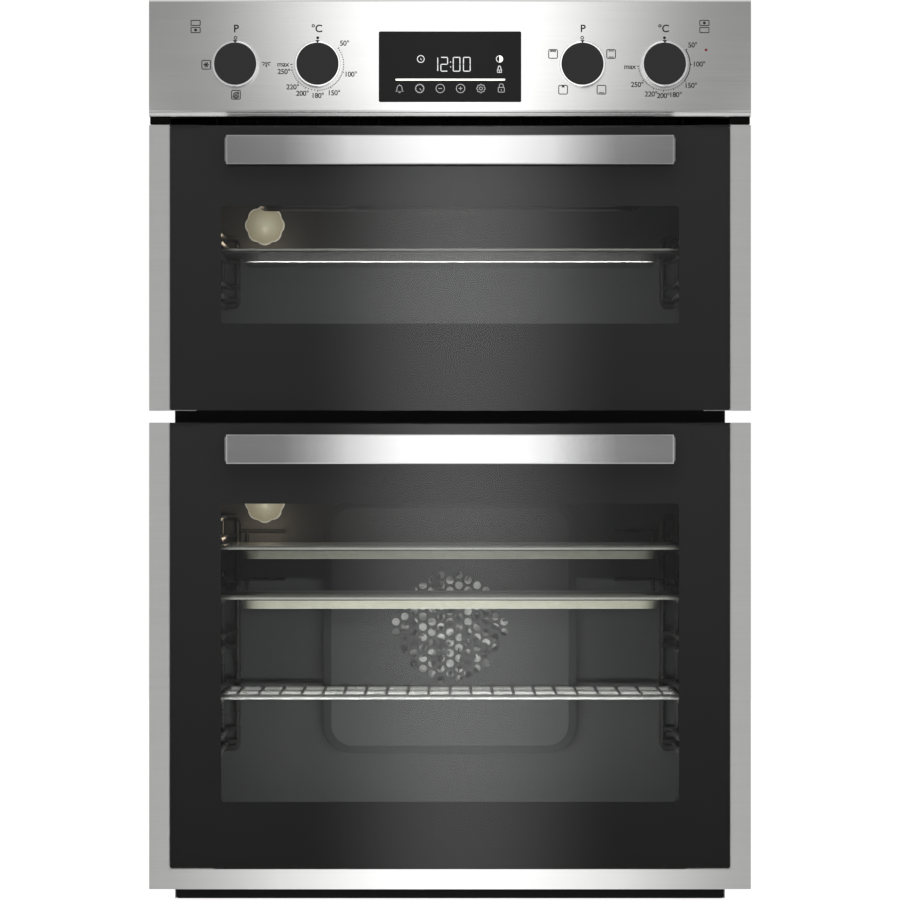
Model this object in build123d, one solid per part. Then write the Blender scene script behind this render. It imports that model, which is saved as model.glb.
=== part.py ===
from build123d import *
from dataclasses import dataclass
import math
import os

# Built-in double wall oven. Millimetres: +X to the user's right, -Y towards the user, +Z up.
# Origin: middle of the underside, on the plane of the cabinet's front edge (Y = 0).

# ---- overall sizes
FRONT_WIDTH = 594.0            # doors and control panel
SIDE_OVERLAP = 24.5            # front stands this far past the body on each side
CHASSIS_DEPTH = 525.0          # body behind the cabinet's front edge
TOP_SETBACK = 10.0             # body top below the control panel's top
SHEET = 1.0                    # casing and muffle steel
FRAME_SHEET = 1.5
FRAME_OVERLAP = 24.5           # front stands this far past the front frame
FIT = 0.3                      # gap between parts that only sit next to each other
RUNNING_FIT = 0.05             # radial gap round a turning shaft

# ---- front, from the bottom up
BASE_HEIGHT = 10.4
BASE_GAP = 0.2
STRIP_INSET = 1.8              # base strip's ends inside the front frame's
STRIP_PROUD = 1.5              # base strip's face ahead of the cabinet edge
DOOR_SPACING = 11.8
AIR_GAP = 8.2
FASCIA_HEIGHT = 115.0

# ---- doors
DOOR_BACK = 10.0               # door's back face ahead of the cabinet edge
DOOR_THICKNESS = 32.0
GLASS = 4.0
GLASS_TOP_GAP = 1.4
TRIM_WIDTH = 19.7
TRIM_SHEET = 1.2
TRIM_INNER_FLANGE = 27.0
BOTTOM_STRIP = 19.7            # steel strip along the lower door's bottom edge
HINGE_RISE = 14.0              # hinge axis above the door's bottom edge
HINGE_INSET = 20.0             # hinge axis behind the door's front face
HINGE_PLANE = 240.0            # middle of each hinge arm from the centre
HINGE_WIDTH = 14.0
HINGE_PIN_RADIUS = 4.0
ARM_THICKNESS = 4.0
ARM_HEIGHT = 10.0
ARM_REACH = 62.0               # arm's length behind the cabinet edge
INNER_GLASS_WIDTH = 524.0
INNER_GLASS_RISE = 30.0
INNER_GLASS_DROP = 14.0
CARRIER_HALF = 226.5
CARRIER_RAIL = 5.5
GROOVE = 2.0

# ---- handles
HANDLE_LENGTH = 440.0
HANDLE_HEIGHT = 28.7
HANDLE_BAR = 10.0
HANDLE_PROUD = 40.0            # bar's front face ahead of the glass
POST_LENGTH = 20.0
POST_HEIGHT = 24.0
POST_PEEK = 1.5
STUD_RADIUS = 3.0

# ---- cavities
CAVITY_HALF = 236.0
CAVITY_DEPTH = 410.0
CAVITY_CORNER = 14.0
FLANGE = 14.0
INSULATION = 20.0
HEATER_POCKET = 10.0
SEAL_WIDTH = 12.0
SEAL_OFFSET = 4.0

# ---- runners, trays and shelf
WIRE = 2.5                     # radius of the runners
POST_WIRE = 3.0                # radius of a side rack's frame
STOP_WIRE = 1.8
RUNNER_INSET = 7.0             # runners inside the cavity wall
RUNNER_GAP = 12.9
RUNNER_FRONT = 22.0
RUNNER_BACK = 384.0
BACK_POST_INSET = 17.3         # rear posts inside the cavity wall
BACK_POST_Y = 400.0
STOP_LENGTH = 48.7
TRAY_REST = 0.5                # tray's edge inside the runners' middle
TRAY_FRONT = 26.0
TRAY_DEPTH = 352.0
TRAY_FLANGE = 20.5
TRAY_SINK = 13.5
TRAY_BEAD = 4.2
SHELF_PITCH = 21.2
SHELF_WIRE = 1.6

# ---- control panel
PANEL_SHEET = 1.0
KNOB_RADIUS = 20.8
KNOB_RING = 1.8
KNOB_PROUD = 20.0
KNOB_GAP = 1.0
KNOB_DROP = 63.5               # knob centres below the panel's top
KNOB_INNER = 130.5
KNOB_OUTER = 211.6
SHAFT_RADIUS = 3.0
SHAFT_HOLE = 5.0
SWITCH_SIZE = 38.0
SWITCH_DEPTH = 30.0
DISPLAY_WIDTH = 140.3
DISPLAY_HEIGHT = 69.5
DISPLAY_DROP = 31.1            # display's top below the panel's top
CARRIER_SHEET = 2.5
MODULE_HALF = 64.0             # display module behind its glass
MODULE_INSET = 4.0

# ---- hot-air fan, lamps and heating elements
FAN_RISE = 184.0               # fan axis above the lower cavity's floor
FAN_COVER = 260.0
FAN_COVER_DEPTH = 28.0
PERFORATION_PITCH = 10.7
PERFORATION_RADIUS = 3.95
PERFORATED_RADIUS = 60.0
FAN_RADIUS = 66.0
FAN_HUB_RADIUS = 14.0
FAN_BLADES = 12
FAN_LENGTH = 16.0
MOTOR_RADIUS = 34.0
MOTOR_LENGTH = 62.0
MOTOR_BAR = 60.0               # half the length of the fan motor's mounting bar
LAMP_INSET = 45.2              # lamps inside the cavity's left wall
LAMP_RADIUS = 21.0
LAMP_LOBES = 12
LAMP_LOBE = 4.2                # radius of each scallop of the cover's rim
TUBE_RADIUS = 3.25
RING_RADIUS = 88.0
RING_LEG = 14.0                # each end of the ring element from its middle
GRILL_INSET = 46.0             # grill element's outer runs inside the cavity wall
GRILL_BAY = 90.0               # from its outer runs to its inner ones
BOTTOM_INSET = 66.0            # bottom element inside the cavity wall

# ---- cooling blower
BLOWER_Y = 190.0
BLOWER_SIZE = 130.0
BLOWER_HEIGHT = 40.0
BLOWER_WHEEL = 50.0
DUCT_WIDTH = 470.0
DUCT_HEIGHT = 22.0

# ---- mains connection
TERMINAL_X = 190.0
TERMINAL_DROP = 40.0           # cable entry below the body's top
GLAND_RADIUS = 9.0
CABLE_RADIUS = 6.0

# ---- cabinet fixing
BRACKET_SHEET = 2.0
BRACKET_HEIGHT = 36.0
CABINET_HOLE_INSET = 11.0      # cabinet screws inside the front's edge
CABINET_HOLE_RADIUS = 2.5
BRACKET_LOW = 260.0
BRACKET_HIGH = 620.0
SCREW_RADIUS = 1.9
SCREW_HEAD = 3.6

# ---- places that follow from the sizes above
HALF = FRONT_WIDTH / 2
BODY_HALF = HALF - SIDE_OVERLAP
FRAME_HALF = HALF - FRAME_OVERLAP
DOOR_FRONT = -(DOOR_BACK + DOOR_THICKNESS)
GLASS_BACK = DOOR_FRONT + GLASS
HINGE_Y = DOOR_FRONT + HINGE_INSET
HANDLE_FRONT = DOOR_FRONT - HANDLE_PROUD
TRIM_INNER = HALF - TRIM_WIDTH
SEAT_BACK = GLASS_BACK + TRIM_SHEET
BODY_REAR = CHASSIS_DEPTH
MUFFLE_BACK = CAVITY_DEPTH + SHEET
RUNNER_HALF = CAVITY_HALF - RUNNER_INSET
BACK_POST_HALF = CAVITY_HALF - BACK_POST_INSET
FRAME_X = RUNNER_HALF + 3.5    # side rack's frame, welded outside its runners
RACK_FRONT = RUNNER_FRONT + 12
TRAY_WIDTH = 2 * (RUNNER_HALF - TRAY_REST)
LAMP_X = LAMP_INSET - CAVITY_HALF
CABINET_HOLE_HALF = HALF - CABINET_HOLE_INSET
POST_X = HANDLE_LENGTH / 2 - POST_LENGTH / 2
MIDDLE_Y = GLASS_BACK + 11.0   # front of the pane between the outer and inner glass
PANEL_BACK = DOOR_FRONT + PANEL_SHEET
CARRIER_BACK = PANEL_BACK + CARRIER_SHEET


@dataclass(frozen=True)
class Oven:
    """One cavity with its door; heights are from the underside of the appliance."""
    name: str
    door_bottom: float
    door_height: float
    sill: float                # door's bottom edge to the cavity floor
    header: float              # cavity ceiling to the door's top edge
    handle_drop: float         # handle's middle below the door's top edge
    first_runner: float        # lowest support wire above the cavity floor
    runner_pitch: float
    runner_pairs: int
    rack_top: float            # rack's top wire below the ceiling
    stop_levels: tuple         # levels with a back stop for the tray
    lamp_drop: float           # lamp's middle below the ceiling

    @property
    def door_top(self):
        return self.door_bottom + self.door_height

    @property
    def floor(self):
        return self.door_bottom + self.sill

    @property
    def ceiling(self):
        return self.door_top - self.header

    @property
    def hinge_z(self):
        return self.door_bottom + HINGE_RISE

    @property
    def handle_z(self):
        return self.door_top - self.handle_drop

    def runner(self, level):
        """Height of the wire that carries a tray at this level."""
        return self.floor + self.first_runner + level * self.runner_pitch


LOWER = Oven("lower", BASE_HEIGHT + BASE_GAP, 460.4, 67.4, 46.0, 26.2, 65.9, 49.55, 5, 50.4, (3, 4), 35.7)
UPPER = Oven("upper", LOWER.door_top + DOOR_SPACING, 282.0, 51.2, 52.8, 25.5, 64.2, 39.3, 2, 51.0, (), 36.5)
OVENS = (LOWER, UPPER)
FASCIA_BOTTOM = UPPER.door_top + AIR_GAP
FASCIA_TOP = FASCIA_BOTTOM + FASCIA_HEIGHT
BODY_TOP = FASCIA_TOP - TOP_SETBACK
KNOB_Z = FASCIA_TOP - KNOB_DROP
DISPLAY_TOP = FASCIA_TOP - DISPLAY_DROP
KNOBS = (
    ("lower_oven_function", -KNOB_OUTER),
    ("lower_oven_temperature", -KNOB_INNER),
    ("upper_oven_function", KNOB_INNER),
    ("upper_oven_temperature", KNOB_OUTER),
)
DUCT_BOTTOM = UPPER.ceiling + SHEET + FIT + INSULATION + 4.0
DUCT_TOP = DUCT_BOTTOM + DUCT_HEIGHT
TERMINAL_Z = BODY_TOP - TERMINAL_DROP
DIVIDER_Z = UPPER.hinge_z - ARM_HEIGHT - 2.0
FAN_Z = LOWER.floor + FAN_RISE
COVER_FRONT = CAVITY_DEPTH - FAN_COVER_DEPTH
RING_TERMINAL = math.sqrt(RING_RADIUS**2 - RING_LEG**2)
RING_Y = COVER_FRONT + FAN_COVER_DEPTH / 2 - 1.0
MODULE_HIGH = DISPLAY_TOP - MODULE_INSET
MODULE_LOW = DISPLAY_TOP - DISPLAY_HEIGHT + MODULE_INSET
WHEEL_BOTTOM = DUCT_TOP + 4.0
HOUSING_TOP = DUCT_TOP + BLOWER_HEIGHT
MOTOR_SEAT = HOUSING_TOP + 2.0
REAR_SCREW_X = BODY_HALF - 9.0
REAR_SCREW_ROWS = [60.0 + i * (BODY_TOP - 120.0) / 4 for i in range(5)]
FRAME_SCREW_X = FRAME_HALF - 6.0
FRAME_SCREW_ROWS = [LOWER.floor + 10.0, LOWER.ceiling - 10.0, UPPER.floor + 8.0, UPPER.ceiling - 8.0]
BRACKET_ROWS = [BRACKET_LOW, BRACKET_HIGH]


# ---- shape helpers
def block(x0, x1, y0, y1, z0, z1):
    """Box between two corners."""
    size = Box(x1 - x0, y1 - y0, z1 - z0)
    return Pos((x0 + x1) / 2, (y0 + y1) / 2, (z0 + z1) / 2) * size


def rounded(x0, x1, y0, y1, z0, z1, radius):
    """Block whose corners are round as seen from the front."""
    outline = Plane.XZ * RectangleRounded(x1 - x0, z1 - z0, radius)
    return Pos((x0 + x1) / 2, y1, (z0 + z1) / 2) * extrude(outline, y1 - y0)


def rounded_plan(x0, x1, y0, y1, z0, z1, radius):
    """Block whose corners are round as seen from above."""
    outline = RectangleRounded(x1 - x0, y1 - y0, radius)
    return Pos((x0 + x1) / 2, (y0 + y1) / 2, z0) * extrude(outline, z1 - z0)


def rod_x(x0, x1, y, z, radius):
    return Pos((x0 + x1) / 2, y, z) * Rot(0, 90, 0) * Cylinder(radius, x1 - x0)


def rod_y(x, z, radius, y0, y1):
    return Pos(x, (y0 + y1) / 2, z) * Rot(90, 0, 0) * Cylinder(radius, y1 - y0)


def rod_z(x, y, radius, z0, z1):
    return Pos(x, y, (z0 + z1) / 2) * Cylinder(radius, z1 - z0)


def bent_wire(points, radius, bend, close=False):
    """Round wire or tube along straight runs with bends of one radius."""
    path = FilletPolyline(*points, radius=bend, close=close)
    return sweep(Plane(origin=path @ 0, z_dir=path % 0) * Circle(radius), path)


def other_side(shape):
    return mirror(shape, Plane.YZ)


def both_sides(shape):
    return [shape, other_side(shape)]


def cut(shape, tools):
    for tool in tools:
        shape -= tool
    return shape


def solids_of(items):
    found = []
    for item in items:
        found += list(item.solids())
    return found


def save(name, *items):
    found = solids_of(items)
    shape = found[0] if len(found) == 1 else Compound(children=found)
    export_step(shape, f"parts/{name}.step")


# ---- casing
def rear_holes(y0, y1):
    tools = []
    for z in REAR_SCREW_ROWS:
        tools += both_sides(rod_y(REAR_SCREW_X, z, SCREW_RADIUS + 0.1, y0, y1))
    return tools


def front_holes(y0, y1):
    tools = []
    for z in FRAME_SCREW_ROWS + BRACKET_ROWS:
        tools += both_sides(rod_y(FRAME_SCREW_X, z, SCREW_RADIUS + 0.1, y0, y1))
    return tools


def base_plate():
    floor = block(-BODY_HALF, BODY_HALF, FRAME_SHEET, BODY_REAR - SHEET, 0, SHEET)
    rim = block(BODY_HALF - 2 * SHEET, BODY_HALF - SHEET, 30, BODY_REAR - 30, SHEET, 13)
    front_rim = block(-230, 230, FRAME_SHEET, FRAME_SHEET + SHEET, SHEET, BASE_HEIGHT)
    ribs = [block(x - 4, x + 4, 60, BODY_REAR - 60, SHEET, SHEET + 3) for x in (-150, 0, 150)]
    return floor + rim + other_side(rim) + front_rim + ribs


def base_strip():
    half = FRAME_HALF - STRIP_INSET
    strip = rounded(-half, half, -STRIP_PROUD, FRAME_SHEET, 0, BASE_HEIGHT, 2.0)
    return strip + block(-half, half, -STRIP_PROUD, FRAME_SHEET, BASE_HEIGHT / 2, BASE_HEIGHT)


def side_panel():
    low, high = SHEET, BODY_TOP - SHEET
    wall = block(BODY_HALF - SHEET, BODY_HALF, FRAME_SHEET, BODY_REAR - SHEET, low, high)
    front = block(BODY_HALF - 16, BODY_HALF, FRAME_SHEET, FRAME_SHEET + SHEET, low + 15, high)
    rear = block(BODY_HALF - 16, BODY_HALF, BODY_REAR - 2 * SHEET, BODY_REAR - SHEET, low + 15, high)
    panel = wall + front + rear
    panel = cut(panel, rear_holes(BODY_REAR - 5, BODY_REAR + 5))
    return cut(panel, front_holes(-5, 10))


def louvre_row(x, z0, count, pitch):
    """Cooling slots in the rear panel."""
    return [rounded(x - 30, x + 30, BODY_REAR - 3, BODY_REAR + 1, z0 + i * pitch, z0 + i * pitch + 4, 1.9)
            for i in range(count)]


def rear_panel():
    panel = block(-BODY_HALF, BODY_HALF, BODY_REAR - SHEET, BODY_REAR, 0, BODY_TOP)
    panel = cut(panel, rear_holes(BODY_REAR - 5, BODY_REAR + 5))
    slots = []
    for x in (-170, -85, 85, 170):
        slots += louvre_row(x, BODY_TOP - 110, 5, 9)
    for x in (-150, 150):
        slots += louvre_row(x, LOWER.floor + 20, 4, 9)
    panel = cut(panel, slots)
    return panel - rod_y(TERMINAL_X, TERMINAL_Z, GLAND_RADIUS + 0.2, BODY_REAR - 5, BODY_REAR + 5)


def top_cover():
    cover = block(-BODY_HALF, BODY_HALF, FRAME_SHEET, BODY_REAR - SHEET, BODY_TOP - SHEET, BODY_TOP)
    fold = block(-BODY_HALF + 20, BODY_HALF - 20, FRAME_SHEET, FRAME_SHEET + SHEET,
                 BODY_TOP - 12, BODY_TOP - SHEET)
    slots = [rounded_plan(x - 3, x + 3, 330, 400, BODY_TOP - 5, BODY_TOP + 5, 2.9)
             for x in range(-150, 151, 25)]
    return cut(cover + fold, slots)


def divider_plate():
    half = BODY_HALF - SHEET
    plate = block(-half, half, FRAME_SHEET + SHEET, BODY_REAR - 60, DIVIDER_Z - SHEET, DIVIDER_Z)
    edge = block(half - SHEET, half, FRAME_SHEET + SHEET + 20, BODY_REAR - 60, DIVIDER_Z, DIVIDER_Z + 12)
    front = block(-200, 200, FRAME_SHEET, FRAME_SHEET + SHEET, DIVIDER_Z - 12, DIVIDER_Z)
    return plate + edge + other_side(edge) + front


def cavity_opening(oven, y0, y1):
    return rounded(-CAVITY_HALF, CAVITY_HALF, y0, y1, oven.floor, oven.ceiling, CAVITY_CORNER)


def hinge_slots(oven):
    slot = block(HINGE_PLANE - ARM_THICKNESS / 2 - 2, HINGE_PLANE + ARM_THICKNESS / 2 + 2, -5, 10,
                 oven.hinge_z - ARM_HEIGHT / 2 - 2, oven.hinge_z + ARM_HEIGHT / 2 + 2)
    return both_sides(slot)


def front_frame():
    low = BASE_HEIGHT + BASE_GAP
    frame = block(-FRAME_HALF, FRAME_HALF, 0, FRAME_SHEET, low, BODY_TOP - SHEET)
    for oven in OVENS:
        frame -= cavity_opening(oven, -5, 5)
        frame = cut(frame, hinge_slots(oven))
    ridge_z = LOWER.door_top + DOOR_SPACING / 2
    frame += block(-FRAME_HALF + 6, FRAME_HALF - 6, -2.5, 0, ridge_z - 1.2, ridge_z + 1.2)
    frame -= block(-DUCT_WIDTH / 2 - FIT, DUCT_WIDTH / 2 + FIT, -5, 5, DUCT_BOTTOM - FIT, DUCT_TOP + FIT)
    frame -= rounded(-BODY_HALF + 28, BODY_HALF - 28, -5, 5, FASCIA_BOTTOM + 12, BODY_TOP - 10, 6)
    return cut(frame, front_holes(-5, 5))


def cabinet_bracket(z):
    """Tab that is screwed to the front edge of the cabinet's side."""
    half = BRACKET_HEIGHT / 2
    tab = rounded(FRAME_SCREW_X - 7, CABINET_HOLE_HALF + 7, -BRACKET_SHEET, 0, z - half, z + half, 4)
    tab -= rod_y(CABINET_HOLE_HALF, z, CABINET_HOLE_RADIUS, -5, 5)
    return cut(tab, front_holes(-5, 5))


def screw(x, z, seat, forward):
    """Pan-head screw with its head on the plane Y = seat; forward is -1 or 1."""
    head = rod_y(x, z, SCREW_HEAD, min(seat, seat + 1.8 * forward), max(seat, seat + 1.8 * forward))
    head = fillet(head.edges().filter_by(GeomType.CIRCLE).sort_by(Axis.Y)[-1 if forward > 0 else 0], 0.9)
    slot = block(x - 2.2, x + 2.2, min(seat + 1.1 * forward, seat + 2.0 * forward),
                 max(seat + 1.1 * forward, seat + 2.0 * forward), z - 0.35, z + 0.35)
    cross = Pos(x, 0, z) * Rot(0, 90, 0) * Pos(-x, 0, -z) * slot
    shank_end = seat - 5.0 * forward
    shank = rod_y(x, z, SCREW_RADIUS, min(seat, shank_end), max(seat, shank_end))
    return head - slot - cross + shank


def chassis_screws():
    screws = []
    for z in REAR_SCREW_ROWS:
        screws += both_sides(screw(REAR_SCREW_X, z, BODY_REAR, 1))
    for z in FRAME_SCREW_ROWS:
        screws += both_sides(screw(FRAME_SCREW_X, z, 0, -1))
    for z in BRACKET_ROWS:
        screws += both_sides(screw(FRAME_SCREW_X, z, -BRACKET_SHEET, -1))
    return screws


# ---- muffles
def lamp_z(oven):
    return oven.ceiling - oven.lamp_drop


def grill_z(oven):
    return oven.ceiling - 20.0


def muffle(oven):
    back = FRAME_SHEET
    outer = rounded(-CAVITY_HALF - SHEET, CAVITY_HALF + SHEET, back, MUFFLE_BACK,
                    oven.floor - SHEET, oven.ceiling + SHEET, CAVITY_CORNER + SHEET)
    flange = rounded(-CAVITY_HALF - FLANGE, CAVITY_HALF + FLANGE, back, back + SHEET,
                     oven.floor - FLANGE, oven.ceiling + FLANGE, CAVITY_CORNER + FLANGE)
    body = outer + flange - cavity_opening(oven, back - 1, CAVITY_DEPTH)
    body -= rod_y(LAMP_X, lamp_z(oven), LAMP_RADIUS - 5 + 0.2, CAVITY_DEPTH - 5, MUFFLE_BACK + 5)
    for x in (-20, 20):
        body -= rod_y(x, grill_z(oven), TUBE_RADIUS + 0.2, CAVITY_DEPTH - 5, MUFFLE_BACK + 5)
    if oven is LOWER:
        body -= rod_y(0, FAN_Z, 6.0, CAVITY_DEPTH - 5, MUFFLE_BACK + 5)
        for x in (-RING_LEG, RING_LEG):
            body -= rod_y(x, FAN_Z + RING_TERMINAL, TUBE_RADIUS + 0.2, CAVITY_DEPTH - 5, MUFFLE_BACK + 5)
    return body


def insulation(oven):
    """Mineral-wool jacket with room for the lower element, the lamp and the fan motor."""
    gap, wrap = SHEET + FIT, SHEET + FIT + INSULATION
    front, rear = FRAME_SHEET + SHEET + FIT, CAVITY_DEPTH + wrap
    low = oven.floor - gap - HEATER_POCKET
    bottom = low - INSULATION / 2
    jacket = rounded(-CAVITY_HALF - wrap, CAVITY_HALF + wrap, front, rear, bottom, oven.ceiling + wrap, 20)
    jacket -= rounded(-CAVITY_HALF - gap, CAVITY_HALF + gap, front - 1, CAVITY_DEPTH + gap,
                      low, oven.ceiling + gap, CAVITY_CORNER + gap)
    jacket -= rod_y(LAMP_X, lamp_z(oven), LAMP_RADIUS + 2, CAVITY_DEPTH, rear + 5)
    jacket -= block(-36, 36, CAVITY_DEPTH, rear + 5, grill_z(oven) - 10, grill_z(oven) + 10)
    if oven is LOWER:
        jacket -= rod_y(0, FAN_Z, MOTOR_RADIUS + 12, CAVITY_DEPTH, rear + 5)
        jacket -= block(-MOTOR_BAR - 4, MOTOR_BAR + 4, CAVITY_DEPTH, rear + 5, FAN_Z - 15, FAN_Z + 15)
        jacket -= block(-24, 24, CAVITY_DEPTH, rear + 5, FAN_Z, FAN_Z + RING_TERMINAL + 10)
    return jacket


def door_seal(oven):
    inner, outer = SEAL_OFFSET, SEAL_OFFSET + SEAL_WIDTH
    y0 = -(DOOR_BACK - FIT)
    ring = rounded(-CAVITY_HALF - outer, CAVITY_HALF + outer, y0, 0,
                   oven.floor - outer, oven.ceiling + outer, CAVITY_CORNER + outer)
    ring -= rounded(-CAVITY_HALF - inner, CAVITY_HALF + inner, y0 - 1, 1,
                    oven.floor - inner, oven.ceiling + inner, CAVITY_CORNER + inner)
    edges = ring.edges().group_by(Axis.Y)[0]
    return fillet(edges, 4.0)


# ---- runners, trays, shelf
def runner_heights(oven):
    heights = []
    for level in range(oven.runner_pairs):
        heights += [oven.runner(level), oven.runner(level) + RUNNER_GAP]
    return heights


def rack_frame(oven):
    """Bent wire loop of a side rack: front post, top, rear post and bottom."""
    top, bottom = oven.ceiling - oven.rack_top, oven.runner(0) - RUNNER_GAP / 2
    ends = [(FRAME_X, RACK_FRONT), (FRAME_X, RUNNER_BACK), (BACK_POST_HALF, BACK_POST_Y)]
    loop = [(x, y, top) for x, y in ends] + [(x, y, bottom) for x, y in reversed(ends)]
    frame = bent_wire(loop, POST_WIRE, 6.0, close=True)
    frame += rod_z(FRAME_X, RUNNER_BACK - 60, WIRE, bottom, top)
    for y in (RACK_FRONT + 30, RUNNER_BACK - 100):
        for z in (bottom, top):
            frame += rod_x(FRAME_X, CAVITY_HALF, y, z, WIRE)
    return frame


def side_rack(oven):
    """Chromed wire frame that hangs on the cavity's right wall."""
    rack = rack_frame(oven)
    for z in runner_heights(oven):
        end = (BACK_POST_HALF + 1.2, BACK_POST_Y - 1.4, z)
        rack += bent_wire([(RUNNER_HALF, RUNNER_FRONT, z), (RUNNER_HALF, RUNNER_BACK, z), end], WIRE, 6.0)
    return rack


def back_stops(oven):
    """Short wires off a side rack's rear post that keep a tray from sliding back."""
    stops = []
    end = BACK_POST_HALF - POST_WIRE
    for level in oven.stop_levels:
        z = oven.runner(level) + 18.5
        stop = rod_x(BACK_POST_HALF - STOP_LENGTH, end, BACK_POST_Y, z, STOP_WIRE)
        stops.append(stop + rod_z(BACK_POST_HALF - 10, BACK_POST_Y, STOP_WIRE, z - 12, z))
    return stops


def tray(oven, level):
    """Enamelled baking tray, resting on the carrying wires of one level."""
    seat = oven.runner(level) + WIRE + FIT
    half, y0, y1 = TRAY_WIDTH / 2, TRAY_FRONT, TRAY_FRONT + TRAY_DEPTH
    rim = rounded_plan(-half, half, y0, y1, seat, seat + TRAY_BEAD, 12)
    rim -= rounded_plan(-half + 3.2, half - 3.2, y0 + 3.2, y1 - 3.2, seat + SHEET, seat + 9, 9)
    top, depth = seat + SHEET, TRAY_SINK - TRAY_BEAD + SHEET
    wide, deep = TRAY_WIDTH - 2 * TRAY_FLANGE, TRAY_DEPTH - 2 * TRAY_FLANGE
    middle = (y0 + y1) / 2
    outside = Pos(0, middle, top) * extrude(RectangleRounded(wide, deep, 18), -depth, taper=12)
    inner_plan = RectangleRounded(wide - 2 * SHEET, deep - 2 * SHEET, 17)
    inside = Pos(0, middle, top) * extrude(inner_plan, -depth + SHEET, taper=12)
    opening = rounded_plan(-wide / 2 + 1, wide / 2 - 1, middle - deep / 2 + 1, middle + deep / 2 - 1,
                           seat - 0.5, top + 5, 17)
    return (rim - opening) + (outside - inside - opening)


def wire_shelf(oven, level):
    """Grid shelf of chromed wire."""
    z = oven.runner(level) + 2 * WIRE + FIT
    half, y0, y1 = TRAY_WIDTH / 2 - 2, TRAY_FRONT, TRAY_FRONT + TRAY_DEPTH
    corners = [(-half, y0, z), (half, y0, z), (half, y1, z), (-half, y1, z)]
    shelf = bent_wire(corners, WIRE, 8.0, close=True)
    shelf += rod_x(-half, half, (y0 + y1) / 2, z, WIRE - 0.3)
    count = int((half - 8) // SHELF_PITCH)
    top = z + WIRE * 0.6
    for i in range(-count, count + 1):
        shelf += rod_y(i * SHELF_PITCH, top, SHELF_WIRE, y0 - 1, y1 + 1)
    return shelf


# ---- fan, lamps, heating elements
def perforations():
    """Centres of the holes in the fan cover, on a triangular grid."""
    centres = []
    column = PERFORATION_PITCH * math.sqrt(3) / 2
    reach = int(PERFORATED_RADIUS // column) + 1
    for i in range(-reach, reach + 1):
        shift = PERFORATION_PITCH / 2 if i % 2 == 0 else 0.0
        for j in range(-reach, reach + 1):
            x, z = i * column, j * PERFORATION_PITCH + shift
            if math.hypot(x, z) <= PERFORATED_RADIUS - PERFORATION_RADIUS:
                centres.append((x, z))
    return centres


def fan_cover():
    half = FAN_COVER / 2
    outer = rounded(-half, half, COVER_FRONT, CAVITY_DEPTH, FAN_Z - half, FAN_Z + half, 30)
    outer = chamfer(outer.edges().group_by(Axis.Y)[0], 8)
    inner = rounded(-half + SHEET, half - SHEET, COVER_FRONT + SHEET, CAVITY_DEPTH + 1,
                    FAN_Z - half + SHEET, FAN_Z + half - SHEET, 29)
    inner = chamfer(inner.edges().group_by(Axis.Y)[0], 7.6)
    cover = outer - inner
    outline = Sketch() + [Pos(x, z) * Circle(PERFORATION_RADIUS) for x, z in perforations()]
    holes = Pos(0, COVER_FRONT + 5, FAN_Z) * extrude(Plane.XZ * outline, 10)
    cover -= holes
    slots = []
    for i in range(-5, 6):
        z = FAN_Z + i * 18.0
        slots += both_sides(block(half - 5, half + 5, CAVITY_DEPTH - 15, CAVITY_DEPTH - 5, z - 6, z + 6))
    return cut(cover, slots)


def fan_impeller():
    """Bladed wheel with its shaft, turning in the motor behind the muffle."""
    back, front = CAVITY_DEPTH - 4.0, CAVITY_DEPTH - 4.0 - FAN_LENGTH
    wheel = rod_y(0, FAN_Z, FAN_HUB_RADIUS, front, back)
    wheel += rod_y(0, FAN_Z, FAN_RADIUS, back - 1.2, back)
    for i in range(FAN_BLADES):
        blade = block(FAN_HUB_RADIUS + 8, FAN_RADIUS - 1, front, back, -0.7, 0.7)
        wheel += Pos(0, 0, FAN_Z) * Rot(0, i * 360 / FAN_BLADES, 0) * Pos(0, 0, 9) * blade
    wheel += rod_y(0, FAN_Z, 4.0, front - 1, MUFFLE_BACK + 42)
    wheel += rod_y(0, FAN_Z, 6.5, front - 5, front)
    return wheel


def fan_motor():
    start = MUFFLE_BACK + 8
    body = rod_y(0, FAN_Z, MOTOR_RADIUS, start + 3, start + MOTOR_LENGTH)
    coil = block(-MOTOR_RADIUS - 8, MOTOR_RADIUS + 8, start + 14, start + 40, FAN_Z - 22, FAN_Z + 22)
    bar = block(-MOTOR_BAR, MOTOR_BAR, start, start + 3, FAN_Z - 12, FAN_Z + 12)
    feet = [rod_y(x, FAN_Z, 5, MUFFLE_BACK, start) for x in (-MOTOR_BAR + 8, MOTOR_BAR - 8)]
    motor = body + coil + bar + feet
    return motor - rod_y(0, FAN_Z, 4.0 + RUNNING_FIT, MUFFLE_BACK - 5, start + MOTOR_LENGTH - 6)


def ring_element():
    """Round heater about the fan, with its two ends through the muffle's rear wall."""
    ring = Pos(0, RING_Y, FAN_Z) * Rot(90, 0, 0) * Torus(RING_RADIUS, TUBE_RADIUS)
    z = FAN_Z + RING_TERMINAL
    ring -= block(-RING_LEG + 3, RING_LEG - 3, RING_Y - 10, RING_Y + 10, z - 9, FAN_Z + RING_RADIUS + 9)
    for x in (-RING_LEG, RING_LEG):
        ring += rod_y(x, z, TUBE_RADIUS, RING_Y - TUBE_RADIUS + 0.3, MUFFLE_BACK + 14)
    return ring + block(-22, 22, CAVITY_DEPTH - 2, CAVITY_DEPTH, z - 9, z + 9)


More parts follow.
